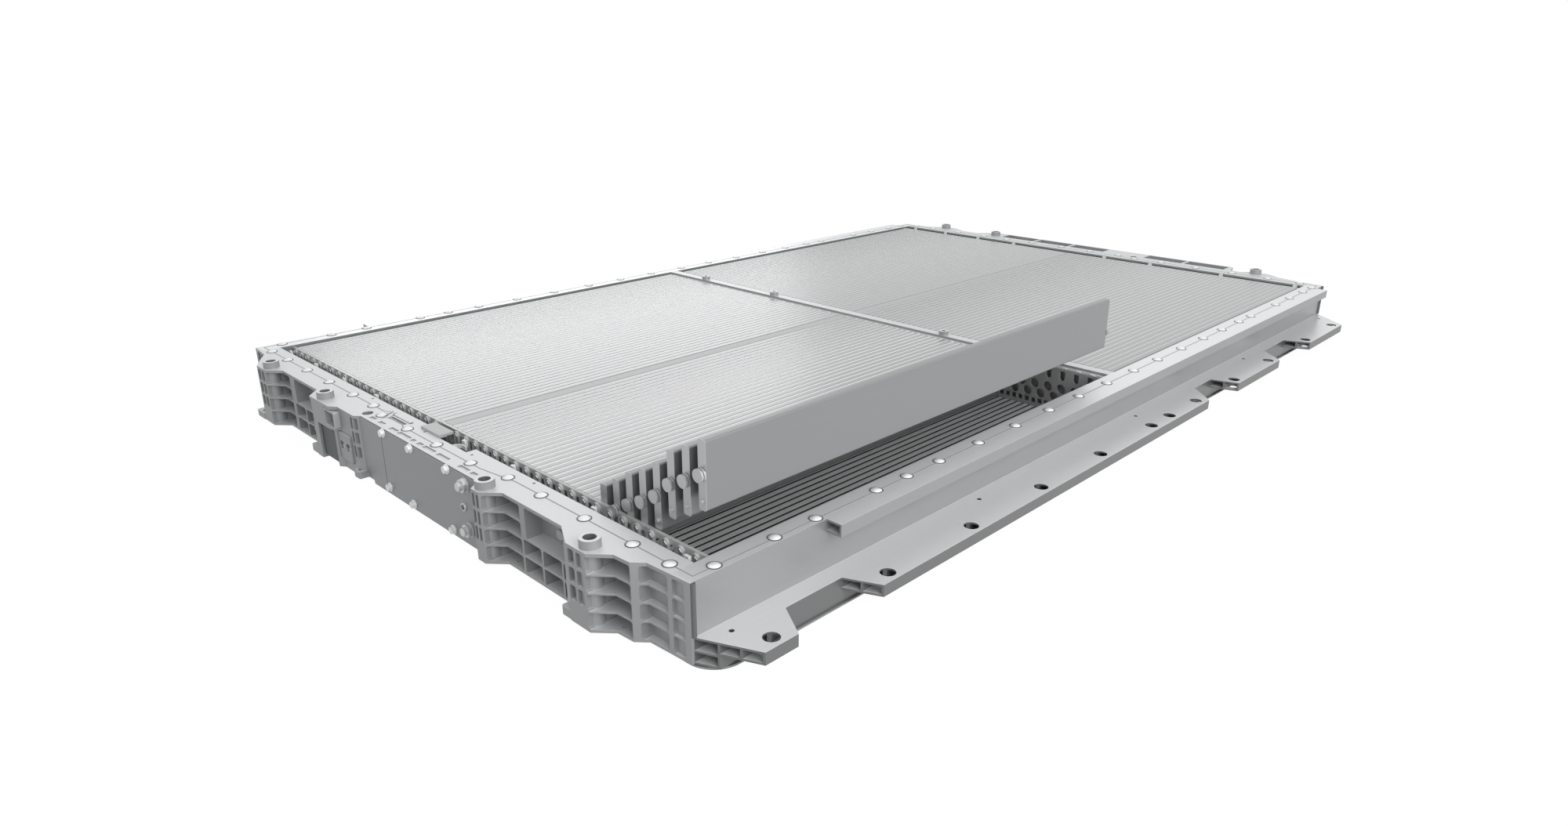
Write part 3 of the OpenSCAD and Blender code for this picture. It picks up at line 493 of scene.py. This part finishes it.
@dataclass
class Piece:
    """A visual piece, drawn with places in millimetres in the frame of the case.

    Attributes:
        name: Its name.
        finish: What it is dressed in.
        slot: The material slot that it belongs to; not used.
        rod_sides: How many sides its round parts have.
        edge_steps: How many steps its softened edges have.
        mitre: The least cosine that a bend of a band is widened by.
        shape: Its mesh while it is drawn.
    """

    name: str
    finish: Finish
    slot: Slot
    rod_sides: int = 24
    edge_steps: int = 2
    mitre: float = 0.4
    shape: bmesh.types.BMesh = field(default_factory=bmesh.new)

    def block(self, low: Place, high: Place, edge: float = 0.0, turn: float = 0.0) -> None:
        """Adds a box.

        Args:
            low: Its corner at the low ends.
            high: Its corner at the high ends.
            edge: Radius of its softened edges.
            turn: How far it is turned about a line along Y through its middle, in degrees.
        """
        size = [b - a for a, b in zip(low, high)]
        middle = Matrix.Translation([(a + b) / 2 for a, b in zip(low, high)])
        turned = middle @ Matrix.Rotation(math.radians(turn), 4, "Y")
        matrix = turned @ Matrix.Diagonal((*size, 1.0))
        made = bmesh.ops.create_cube(self.shape, size=1.0, matrix=matrix)
        if edge > 0.0:
            edges = {line for corner in made["verts"] for line in corner.link_edges}
            bmesh.ops.bevel(
                self.shape, geom=list(edges), offset=edge, offset_type="OFFSET",
                affect="EDGES", segments=self.edge_steps, profile=0.5, material=-1,
            )

    def ribbon(self, path: Sequence[Point], width: float, low: float, high: float) -> None:
        """Adds a flat band that follows a path seen from above.

        Args:
            path: The middle line of the band.
            width: Its width.
            low: The height of its underside.
            high: The height of its top.
        """
        points = [Vector(point) for point in path]
        runs = [(end - start).normalized() for start, end in zip(points, points[1:])]
        near, far = [], []
        for point, into, out in zip(points, [runs[0], *runs], [*runs, runs[-1]]):
            along = (into + out).normalized()
            reach = width / 2 / max(along.dot(into), self.mitre)
            across = Vector((-along.y, along.x)) * reach
            near.append(point - across)
            far.append(point + across)
        ring = [self.shape.verts.new((*at, low)) for at in (*near, *reversed(far))]
        sole = self.shape.faces.new(ring)
        made = bmesh.ops.extrude_face_region(self.shape, geom=[sole])["geom"]
        raised = [corner for corner in made if isinstance(corner, bmesh.types.BMVert)]
        bmesh.ops.translate(self.shape, verts=raised, vec=(0.0, 0.0, high - low))

    def rod(
        self, foot: Place, radius: float, height: float, tip: Optional[float] = None,
        out: bool = False,
    ) -> None:
        """Adds a round rod or cone.

        Args:
            foot: The middle of the end that it starts from.
            radius: Its radius there.
            height: Its height.
            tip: Its radius at the other end, where that differs.
            out: Whether it points out of the front face, and not up.
        """
        turn = Matrix.Rotation(math.pi / 2 if out else 0.0, 4, "X")
        middle = Matrix.Translation(foot) @ turn @ Matrix.Translation((0.0, 0.0, height / 2))
        bmesh.ops.create_cone(
            self.shape, cap_ends=True, segments=self.rod_sides, radius1=radius,
            radius2=radius if tip is None else tip, depth=height, matrix=middle,
        )

    def done(self) -> None:
        """Turns the drawing into a dressed object of the pack, at its place in the world."""
        bmesh.ops.recalc_face_normals(self.shape, faces=self.shape.faces[:])
        bmesh.ops.transform(self.shape, matrix=CASE.to_world, verts=self.shape.verts[:])
        mesh = bpy.data.meshes.new(self.name)
        self.shape.to_mesh(mesh)
        self.shape.free()
        mesh.materials.append(SHOP.get(self.finish))
        made = bpy.data.objects.new(self.name, mesh)
        bpy.context.scene.collection.objects.link(made)
        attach(made, "root")
        log.info("made %s with %d faces", self.name, len(mesh.polygons))


@dataclass(frozen=True)
class Rim:
    """What lies on the rim of the case: the seal line, painted shade in a slot and in small holes,
    and cast ribs.

    Attributes:
        line_x: How far the seal line runs from the middle, on both sides.
        end_y: How far it runs from the rails' ends.
        line_width: Its width.
        line_height: How far it stands above the rim.
        front_line: The bends of its front run.
        gap: Low and high corners of the painted shade that stands for the slot in the front frame.
        dots: Middles of the small holes, whose shade is painted as dark discs.
        dot_radius: Their radius.
        shade_height: How thick the painted shade of the slot and of the holes is.
        ribs: The paths of the two slanting ribs.
        rib_width: Their width.
        rib_height: How far they and the bar stand above the rim.
        bar: Low and high corners of the cast bar beside them.
        bar_edge: Radius of the bar's edges.
    """

    line_x: float = 651.0
    end_y: float = 9.0
    line_width: float = 1.5
    line_height: float = 0.25
    front_line: tuple[Point, ...] = (
        (-150.0, 10.0), (-124.0, 10.0), (-112.0, 19.0), (-98.0, -5.5), (-90.0, 1.5),
        (-44.0, 2.0), (-36.0, -1.8), (200.0, -1.8), (222.0, 1.0), (278.0, 9.0),
    )
    gap: tuple[Point, Point] = ((-88.0, 3.5), (-42.0, 8.5))
    dots: tuple[Point, ...] = (
        (-40.0, 14.5), (147.0, 16.0), (10.0, 12.0), (300.0, 24.0), (-200.0, 25.0),
    )
    dot_radius: float = 2.2
    shade_height: float = 0.1
    ribs: tuple[tuple[Point, Point], ...] = (
        ((-97.0, -7.0), (-113.0, 19.0)),
        ((-88.0, 1.0), (-102.0, 20.0)),
    )
    rib_width: float = 2.0
    rib_height: float = 1.4
    bar: tuple[Point, Point] = ((-100.0, 12.0), (-40.0, 18.5))
    bar_edge: float = 0.5

    def build(self) -> None:
        """Makes the pieces of the rim."""
        top = CASE.height
        self._seal_line(top)
        self._painted_shade(top)
        self._ribs(top)

    def _seal_line(self, top: float) -> None:
        """Makes the seal line, one straight run after another.

        Args:
            top: The height of the rim.
        """
        line = Piece("seal_line", SEAL_LINE, Slot.RUBBER)
        far_y = CASE.length - self.end_y
        path = [
            (-self.line_x, self.end_y), *self.front_line, (self.line_x, self.end_y),
            (self.line_x, far_y), (-self.line_x, far_y), (-self.line_x, self.end_y),
        ]
        for run in zip(path, path[1:]):
            line.ribbon(run, self.line_width, top + CLEARANCE, top + self.line_height)
        line.done()

    def _painted_shade(self, top: float) -> None:
        """Makes the painted shade of the slot and of the small holes, as thin dark plates on the
        rim.

        Args:
            top: The height of the rim.
        """
        low = top + CLEARANCE
        shade_plates = Piece("rim_hole_shade", SEAM_AND_SHADE, Slot.RUBBER)
        shade_plates.block((*self.gap[0], low), (*self.gap[1], top + self.shade_height))
        for dot in self.dots:
            shade_plates.rod((*dot, low), self.dot_radius, self.shade_height)
        shade_plates.done()

    def _ribs(self, top: float) -> None:
        """Makes the slanting ribs and the bar beside them.

        Args:
            top: The height of the rim.
        """
        low, high = top + CLEARANCE, top + self.rib_height
        ribs = Piece("rim_ribs", CAST, Slot.CAST)
        for path in self.ribs:
            ribs.ribbon(path, self.rib_width, low, high)
        ribs.block((*self.bar[0], low), (*self.bar[1], high), self.bar_edge)
        ribs.done()


@dataclass(frozen=True)
class CornerBeads:
    """Dark upright beads where the end frames meet the rails, one at each corner.

    Attributes:
        radius: Radius of a bead.
        inset: How far in from the frame's side its innermost line lies.
        foot: The height of its foot.
        below_rim: How far its top stays below the rim.
    """

    radius: float = 3.4
    inset: float = 3.0
    foot: float = 37.0
    below_rim: float = 1.0

    def build(self) -> None:
        """Makes the beads."""
        beads = Piece("corner_beads", SEAM_AND_SHADE, Slot.RUBBER)
        height = CASE.height - self.below_rim - self.foot
        for side in (-1.0, 1.0):
            x = side * (CASE.half_width - self.inset + self.radius)
            for y in (0.0, CASE.length):
                beads.rod((x, y, self.foot), self.radius, height)
        beads.done()


@dataclass(frozen=True)
class CellEdgeHighlights:
    """Painted highlights: pale strips between each two neighbouring cells, for the light on the
    cans' rounded top edges.

    Attributes:
        stacks: The node, the number of cells and the painted highlight's finish of each stack.
        width: The width of a line.
        drop: How far it lies below the tops of the cells.
        thick: How thick it is.
    """

    stacks: tuple[tuple[str, int, Finish], ...] = (
        ("cells_front_left", 42, HIGHLIGHT_WHITE),
        ("cells_front_right", 28, HIGHLIGHT_WHITE),
        ("cells_rear_left", 42, HIGHLIGHT_FAR),
        ("cells_rear_right", 43, HIGHLIGHT_FAR),
    )
    width: float = 3.4
    drop: float = 0.2
    thick: float = 0.3

    def build(self) -> None:
        """Makes one piece of painted highlight strips for each stack of cells."""
        for node, count, finish in self.stacks:
            low, high = CASE.box(node)
            pitch = (high.x - low.x + CELL_GAP) / count
            near, far = low.y + TERMINAL_REACH, high.y - TERMINAL_REACH
            top = high.z - self.drop
            highlight_strips = Piece(f"film_{node}", finish, Slot.WHITE)
            for k in range(1, count):
                x = low.x + k * pitch - CELL_GAP / 2
                start = (x - self.width / 2, near, top - self.thick)
                highlight_strips.block(start, (x + self.width / 2, far, top))
            highlight_strips.done()


@dataclass(frozen=True)
class ArchGlints:
    """Painted highlights on the shoulders of the clear arches along the front ends of the cells.

    Attributes:
        half_cell: Half of a cell's thickness.
        count: How many highlights there are on each side of the middle.
        step: From one highlight to the next, in cell pitches.
        first: From the outermost cell's middle to the first highlight, in cell pitches.
        offset: How far a highlight stands to the right of its arch.
        size: Its length, depth and thickness.
        edge: Radius of its edges.
        turn: How steep it is, in degrees.
        drop: How far its middle lies below the isolator's top.
        reach: How far it stands in front of the cans.
    """

    half_cell: float = 6.75
    count: int = 21
    step: int = 2
    first: float = 0.5
    offset: float = 2.6
    size: Place = (6.0, 1.2, 1.5)
    edge: float = 0.3
    turn: float = 40.0
    drop: float = 4.6
    reach: float = 11.2

    def build(self) -> None:
        """Makes the painted highlights on the shoulders of all arches of the front isolator."""
        glints = Piece("arch_highlights", GLINT, Slot.CLEAR)
        left, right = CASE.box("cells_rear_left")[0].x, CASE.box("cells_rear_right")[1].x
        y = CASE.box("cells_front_left")[0].y + TERMINAL_REACH - self.reach
        z = CASE.box("isolator_front")[1].z - self.drop
        for k in range(self.count):
            inwards = self.half_cell + (self.step * k + self.first) * CELL_PITCH
            for x in (left + inwards, right - inwards):
                at = (x + self.offset, y, z)
                low = tuple(a - size / 2 for a, size in zip(at, self.size))
                high = tuple(a + size / 2 for a, size in zip(at, self.size))
                glints.block(low, high, self.edge, self.turn)
        glints.done()


@dataclass(frozen=True)
class FaceFittings:
    """Small fittings on the front face: plugs in the stubs, painted highlights in the terminal
    holes, and the port's valve with painted shade in its bore.

    Attributes:
        plug_x: The place of both plugs across the face.
        plug_z: Their heights.
        plug_y: Where they start.
        plug_radius: Their radius.
        plug_length: Their whole length.
        plug_chamfer: The chamfer at their tips.
        hole_highlights: Across and up, the places of the bright rods that are painted highlights in
            the terminal holes.
        highlight_y: Where their faces lie.
        highlight_radius: Their radius.
        highlight_length: Their length.
        port: The middle of the port's foot.
        port_radius: The radius of its valve.
        port_length: The length of its valve.
        port_chamfer: The chamfer of its valve.
        bore_shade_radius: The radius of the dark disc that is painted shade in its bore.
        bore_shade_length: How far that disc stands out of the valve.
    """

    plug_x: float = 208.0
    plug_z: tuple[float, ...] = (94.0, 24.0)
    plug_y: float = -32.0
    plug_radius: float = 6.6
    plug_length: float = 12.0
    plug_chamfer: float = 1.0
    hole_highlights: tuple[Point, ...] = ((-195.2, 39.0), (-171.8, 39.0))
    highlight_y: float = -36.0
    highlight_radius: float = 4.6
    highlight_length: float = 8.0
    port: Place = (197.0, -30.0, 56.0)
    port_radius: float = 7.0
    port_length: float = 2.5
    port_chamfer: float = 0.8
    bore_shade_radius: float = 4.0
    bore_shade_length: float = 0.4

    def build(self) -> None:
        """Makes the fittings."""
        self._plugs()
        self._terminal_highlights()
        self._port()

    def _plugs(self) -> None:
        """Makes the plugs of the two stubs."""
        plugs = Piece("stub_plugs", PLUG, Slot.SCREW)
        shank = self.plug_length - self.plug_chamfer
        tip = self.plug_radius - self.plug_chamfer
        for z in self.plug_z:
            plugs.rod((self.plug_x, self.plug_y, z), self.plug_radius, shank, out=True)
            end = (self.plug_x, self.plug_y - shank, z)
            plugs.rod(end, self.plug_radius, self.plug_chamfer, tip, out=True)
        plugs.done()

    def _terminal_highlights(self) -> None:
        """Makes the painted highlights in the holes of the terminal plate, as bright rods."""
        hole_highlights = Piece("terminal_hole_highlights", SCREW, Slot.SCREW)
        for x, z in self.hole_highlights:
            foot = (x, self.highlight_y + self.highlight_length, z)
            hole_highlights.rod(foot, self.highlight_radius, self.highlight_length, out=True)
        hole_highlights.done()

    def _port(self) -> None:
        """Makes the valve of the port and the painted shade in its bore."""
        valve = Piece("port_valve", PLUG, Slot.SCREW)
        tip = self.port_radius - self.port_chamfer
        valve.rod(self.port, self.port_radius, self.port_length, tip, out=True)
        valve.done()
        x, y, z = self.port
        bore_shade = Piece("port_bore_shade", SEAM_AND_SHADE, Slot.RUBBER)
        bore_shade.rod((x, y - self.port_length, z), self.bore_shade_radius, self.bore_shade_length, out=True)
        bore_shade.done()


@dataclass(frozen=True)
class ConnectorFittings:
    """The dark mouth of the connector and the bent clip beside it.

    Attributes:
        mouth: Low and high corners of the mouth.
        mouth_edge: Radius of its edges.
        clip: The clip's path.
        clip_width: The thickness of its sheet.
        clip_z: The heights of its underside and top.
    """

    mouth: tuple[Place, Place] = ((44.0, 16.5, 88.0), (51.5, 26.5, 107.0))
    mouth_edge: float = 0.6
    clip: tuple[Point, ...] = ((88.0, 14.0), (91.0, 22.0), (97.0, 27.0), (109.0, 27.0))
    clip_width: float = 1.6
    clip_z: Point = (101.0, 107.5)

    def build(self) -> None:
        """Makes the mouth and the clip."""
        mouth = Piece("connector_mouth", RUBBER, Slot.RUBBER)
        mouth.block(*self.mouth, self.mouth_edge)
        mouth.done()
        clip = Piece("connector_clip", WHITE_MOULDED, Slot.WHITE)
        clip.ribbon(self.clip, self.clip_width, *self.clip_z)
        clip.done()


@dataclass(frozen=True)
class ScrewShadowRings:
    """Painted shadow: thin dark discs under the heads of the rim screws, seen as a dark line round
    each head.

    Attributes:
        end_x: The screws' places across an end frame.
        end_y: Their distance from the rails' ends.
        face_y: The same, where the frame stands forward.
        face_span: From where to where it stands forward.
        from_front: The first places along a rail, from its front end.
        from_middle: The middle places, from its middle.
        from_rear: The last places, from its rear end.
        inset: How far the screws of a rail stand in from the case's side.
        radius: Radius of a disc.
        thick: Its thickness.
    """

    end_x: tuple[float, ...] = (
        -609.0, -530.0, -438.0, -340.0, -242.0, -163.0, -109.0, -20.0,
        74.0, 174.0, 258.0, 341.0, 440.0, 540.0, 610.0,
    )
    end_y: float = 9.0
    face_y: float = -1.5
    face_span: Point = (-130.0, 200.0)
    from_front: tuple[float, ...] = (43.0, 142.0, 216.0, 337.0, 404.0, 480.0, 580.0, 683.0)
    from_middle: tuple[float, ...] = (-257.5, -159.5, -59.5, 43.5, 142.5, 247.5)
    from_rear: tuple[float, ...] = (691.0, 596.0, 504.0, 437.0, 287.0, 197.0, 107.0, 44.0)
    inset: float = 11.0
    radius: float = 9.9
    thick: float = 0.5

    def build(self) -> None:
        """Makes the painted shadow discs of all four rows of screws."""
        shadow_rings = Piece("screw_shadow_rings", SEAM_AND_SHADE, Slot.RUBBER)
        z = CASE.height + CLEARANCE
        for x in self.end_x:
            y = self.face_y if self.face_span[0] < x < self.face_span[1] else self.end_y
            shadow_rings.rod((x, y, z), self.radius, self.thick)
            shadow_rings.rod((-x, CASE.length - y, z), self.radius, self.thick)
        along = [
            *self.from_front,
            *(CASE.length / 2 + y for y in self.from_middle),
            *(CASE.length - y for y in self.from_rear),
        ]
        for y in along:
            for side in (-1.0, 1.0):
                x = side * (CASE.half_width - self.inset)
                shadow_rings.rod((x, y, z), self.radius, self.thick)
        shadow_rings.done()


@dataclass(frozen=True)
class BayGapShade:
    """Painted shade: dark strips in the gaps between the floor strips of the open bay.

    Attributes:
        slots: How many cell slots are open.
        width: The width of a dark strip.
        thick: Its thickness.
    """

    slots: int = 15
    width: float = 3.4
    thick: float = 1.8

    def build(self) -> None:
        """Makes the dark strips, from the right side inwards."""
        low, high = CASE.box("floor_strips_front")
        first = CASE.box("cells_rear_right")[1].x + CELL_GAP / 2
        gap_shade = Piece("bay_gap_shade", RUBBER, Slot.RUBBER)
        for k in range(self.slots + 1):
            x = first - k * CELL_PITCH
            start = (x - self.width / 2, low.y, low.z)
            gap_shade.block(start, (x + self.width / 2, high.y, low.z + self.thick))
        gap_shade.done()


@dataclass(frozen=True)
class CrossStrips:
    """Pale strips beside the middle beam and behind the rear cells, with rows of white blocks
    beside the beam that are painted highlights.

    Attributes:
        half_span: Half of a strip's length.
        beam_half: Half of the middle beam's width at the strips' height.
        shelf: How far a strip beside the beam reaches from it.
        shelf_z: The heights of its underside and top.
        edge: Radius of the strips' edges.
        rear_span: How far the edges of the rear strip lie from the rails' rear ends.
        rear_z: The heights of its underside and top.
        beam_glint: Length, depth and height of one painted highlight block.
        beam_glint_edge: Radius of its edges.
        beam_glint_off: How far it stands off its strip.
        beam_glint_pitch: From one highlight to the next.
        beam_glint_count: How many there are on each side of the beam.
    """

    half_span: float = 626.0
    beam_half: float = 11.0
    shelf: float = 6.3
    shelf_z: Point = (101.8, 103.2)
    edge: float = 0.3
    rear_span: Point = (36.5, 48.0)
    rear_z: Point = (100.8, 102.2)
    beam_glint: Place = (8.0, 3.0, 2.4)
    beam_glint_edge: float = 0.4
    beam_glint_off: float = 0.5
    beam_glint_pitch: float = 28.6
    beam_glint_count: int = 43

    def build(self) -> None:
        """Makes the strips and the painted highlights beside the beam."""
        strips = Piece("cross_strips", STRIP, Slot.WHITE)
        beam_glints = Piece("beam_glint_blocks", HIGHLIGHT_WHITE, Slot.WHITE)
        middle = CASE.length / 2
        for side in (-1.0, 1.0):
            root = middle + side * self.beam_half
            tip = middle + side * (self.beam_half + self.shelf)
            self._strip(strips, (min(root, tip), max(root, tip)), self.shelf_z)
            self._beam_glint_row(beam_glints, tip + side * (self.beam_glint[1] / 2 + self.beam_glint_off))
        rear = (CASE.length - self.rear_span[1], CASE.length - self.rear_span[0])
        self._strip(strips, rear, self.rear_z)
        strips.done()
        beam_glints.done()

    def _strip(self, strips: Piece, y: Point, z: Point) -> None:
        """Adds one strip.

        Args:
            strips: The piece that it belongs to.
            y: Its near and far edges.
            z: Its underside and top.
        """
        low, high = zip((-self.half_span, self.half_span), y, z)
        strips.block(low, high, self.edge)

    def _beam_glint_row(self, beam_glints: Piece, y: float) -> None:
        """Adds one row of painted highlights.

        Args:
            beam_glints: The piece that they belong to.
            y: The middle line of the row.
        """
        for k in range(self.beam_glint_count):
            x = (k - self.beam_glint_count // 2) * self.beam_glint_pitch
            low = (x - self.beam_glint[0] / 2, y - self.beam_glint[1] / 2, self.shelf_z[0])
            high = tuple(a + size for a, size in zip(low, self.beam_glint))
            beam_glints.block(low, high, self.beam_glint_edge)


@dataclass(frozen=True)
class Softbox:
    """A large area light.

    Attributes:
        name: The name of the light.
        place: Where it is, in metres.
        aim: What it points at, in metres.
        size: Its width and height in metres.
        power: Its power in watts.
    """

    name: str
    place: Place
    aim: Place
    size: Point
    power: float

    def build(self) -> None:
        """Makes the light."""
        data = bpy.data.lights.new(self.name, "AREA")
        data.shape = "RECTANGLE"
        data.size, data.size_y = self.size
        data.energy = self.power
        lamp = bpy.data.objects.new(self.name, data)
        lamp.location = self.place
        towards = Vector(self.aim) - Vector(self.place)
        lamp.rotation_euler = towards.to_track_quat("-Z", "Y").to_euler()
        lamp.visible_camera = False
        bpy.context.scene.collection.objects.link(lamp)


@dataclass(frozen=True)
class PhotoCamera:
    """The camera, as fitted to the photograph.

    Attributes:
        place: Where it is, in metres.
        azimuth: How far it is turned about the vertical, in degrees.
        down: How far it looks down, in degrees.
        roll: How far it is tilted sideways, in degrees.
        lens: Its focal length in millimetres.
        sensor: The width of its sensor in millimetres.
        clip: The nearest and farthest distance that it sees, in metres.
    """

    place: Place = (1.42541, -1.68985, 0.67879)
    azimuth: float = 44.369
    down: float = 20.153
    roll: float = 0.129
    lens: float = 22.985
    sensor: float = 36.0
    clip: Point = (0.05, 100.0)

    def build(self) -> None:
        """Makes the camera and has the scene look through it."""
        data = bpy.data.cameras.new("camera")
        data.sensor_width = self.sensor
        data.lens = self.lens
        data.clip_start, data.clip_end = self.clip
        camera = bpy.data.objects.new("camera", data)
        turn = Matrix.Rotation(math.radians(self.azimuth), 4, "Z")
        tilt = Matrix.Rotation(math.pi / 2 - math.radians(self.down), 4, "X")
        roll = Matrix.Rotation(math.radians(self.roll), 4, "Z")
        camera.matrix_world = Matrix.Translation(self.place) @ turn @ tilt @ roll
        bpy.context.scene.collection.objects.link(camera)
        bpy.context.scene.camera = camera


@dataclass(frozen=True)
class Studio:
    """Floor, world, lights and camera.

    Attributes:
        softboxes: The lights.
        camera: The camera.
        seeing: The kinds of ray that are shown the white background.
        white: Its colour.
        sky_light: How strongly the sky lights the object.
        horizon_shown: How bright the sky is shown level with the horizon.
        zenith_shown: How bright it is shown overhead.
        floor_span: The floor's side in metres.
        floor_grey: How bright the floor is to the light.
        floor_glow: How bright its white is.
        floor_shown: How much of what is seen of it is that white, and not lit floor.
    """

    softboxes: tuple[Softbox, ...] = (
        Softbox("right_side", (2.9, -1.0, 1.3), (0.6, -0.6, 0.0), (2.6, 2.0), 56.0),
        Softbox("far_left", (-4.5, 2.2, 1.7), (0.0, -0.5, 0.0), (3.4, 1.2), 20.0),
    )
    camera: PhotoCamera = PhotoCamera()
    seeing: tuple[str, ...] = ("Is Camera Ray", "Is Glossy Ray", "Is Transmission Ray")
    white: tuple[float, ...] = (1.0, 1.0, 1.0, 1.0)
    sky_light: float = 0.56
    horizon_shown: float = 1.0
    zenith_shown: float = 1.3
    floor_span: float = 60.0
    floor_grey: float = 0.4
    floor_glow: float = 1.14
    floor_shown: float = 0.85

    def build(self) -> None:
        """Makes the whole studio."""
        self._floor()
        self._world()
        for softbox in self.softboxes:
            softbox.build()
        self.camera.build()
        bpy.context.scene.view_settings.view_transform = "Standard"
        log.info("studio ready with %d softboxes", len(self.softboxes))

    def _seen(self, shader: Shader) -> Field:
        """A mask of the camera's own rays and of those that metal and glass send on.

        Args:
            shader: The tree that it is built in.

        Returns:
            1 for those rays and 0 for others.
        """
        rays = shader.node("ShaderNodeLightPath").outputs
        camera, glossy, through = (Field(shader, rays[kind]) for kind in self.seeing)
        return camera + glossy + through

    def _floor(self) -> None:
        """A plain pale floor that is seen nearly white and keeps the object's shadow."""
        mesh = bpy.data.meshes.new("floor")
        sheet = bmesh.new()
        bmesh.ops.create_grid(sheet, x_segments=1, y_segments=1, size=self.floor_span / 2)
        sheet.to_mesh(mesh)
        sheet.free()
        floor = bpy.data.objects.new("floor", mesh)
        bpy.context.scene.collection.objects.link(floor)
        material = bpy.data.materials.new("floor")
        material.use_nodes = True
        shader = Shader(material.node_tree)
        pale = (self.floor_grey, self.floor_grey, self.floor_grey, 1.0)
        matt = shader.field("ShaderNodeBsdfDiffuse", "BSDF", {"Color": pale})
        glow: dict[str, Value] = {"Color": self.white, "Strength": self.floor_glow}
        white = shader.field("ShaderNodeEmission", "Emission", glow)
        both = shader.mixed(self._seen(shader) * self.floor_shown, matt, white)
        shader.node("ShaderNodeOutputMaterial", {"Surface": both})
        mesh.materials.append(material)

    def _world(self) -> None:
        """A sky that is seen white, also in metal and glass, and lights the object plainly."""
        world = bpy.data.worlds.new("studio")
        bpy.context.scene.world = world
        world.use_nodes = True
        shader = Shader(world.node_tree)
        light, level, overhead = (
            shader.field(
                "ShaderNodeBackground", "Background", {"Color": self.white, "Strength": strength}
            )
            for strength in (self.sky_light, self.horizon_shown, self.zenith_shown)
        )
        up = shader.part(shader.field("ShaderNodeTexCoord", "Generated"), "Z")
        shown = shader.mixed(up, level, overhead)
        both = shader.mixed(self._seen(shader), light, shown)
        shader.node("ShaderNodeOutputWorld", {"Surface": both})


def finish_nodes() -> None:
    """Gives every node of the frame the finish of its material slot, or one of its own."""
    slots = {part["node"]: part["material_slot"] for part in frame["record"]["subparts"]}
    for name, node in sorted(frame["nodes"].items()):
        finish = NODE_FINISHES.get(name, SLOT_FINISHES[slots[name]])
        if name.startswith(LIFTED_PREFIX):
            finish = SHADED_LIFTED_CAN
        node.data.materials.clear()
        node.data.materials.append(SHOP.get(finish))
    log.info("finished %d nodes", len(frame["nodes"]))


def main() -> None:
    """Builds the looks."""
    finish_nodes()
    Rim().build()
    CornerBeads().build()
    CellEdgeHighlights().build()
    ArchGlints().build()
    FaceFittings().build()
    ConnectorFittings().build()
    ScrewShadowRings().build()
    BayGapShade().build()
    CrossStrips().build()
    Studio().build()


if __name__ == "__main__":
    main()
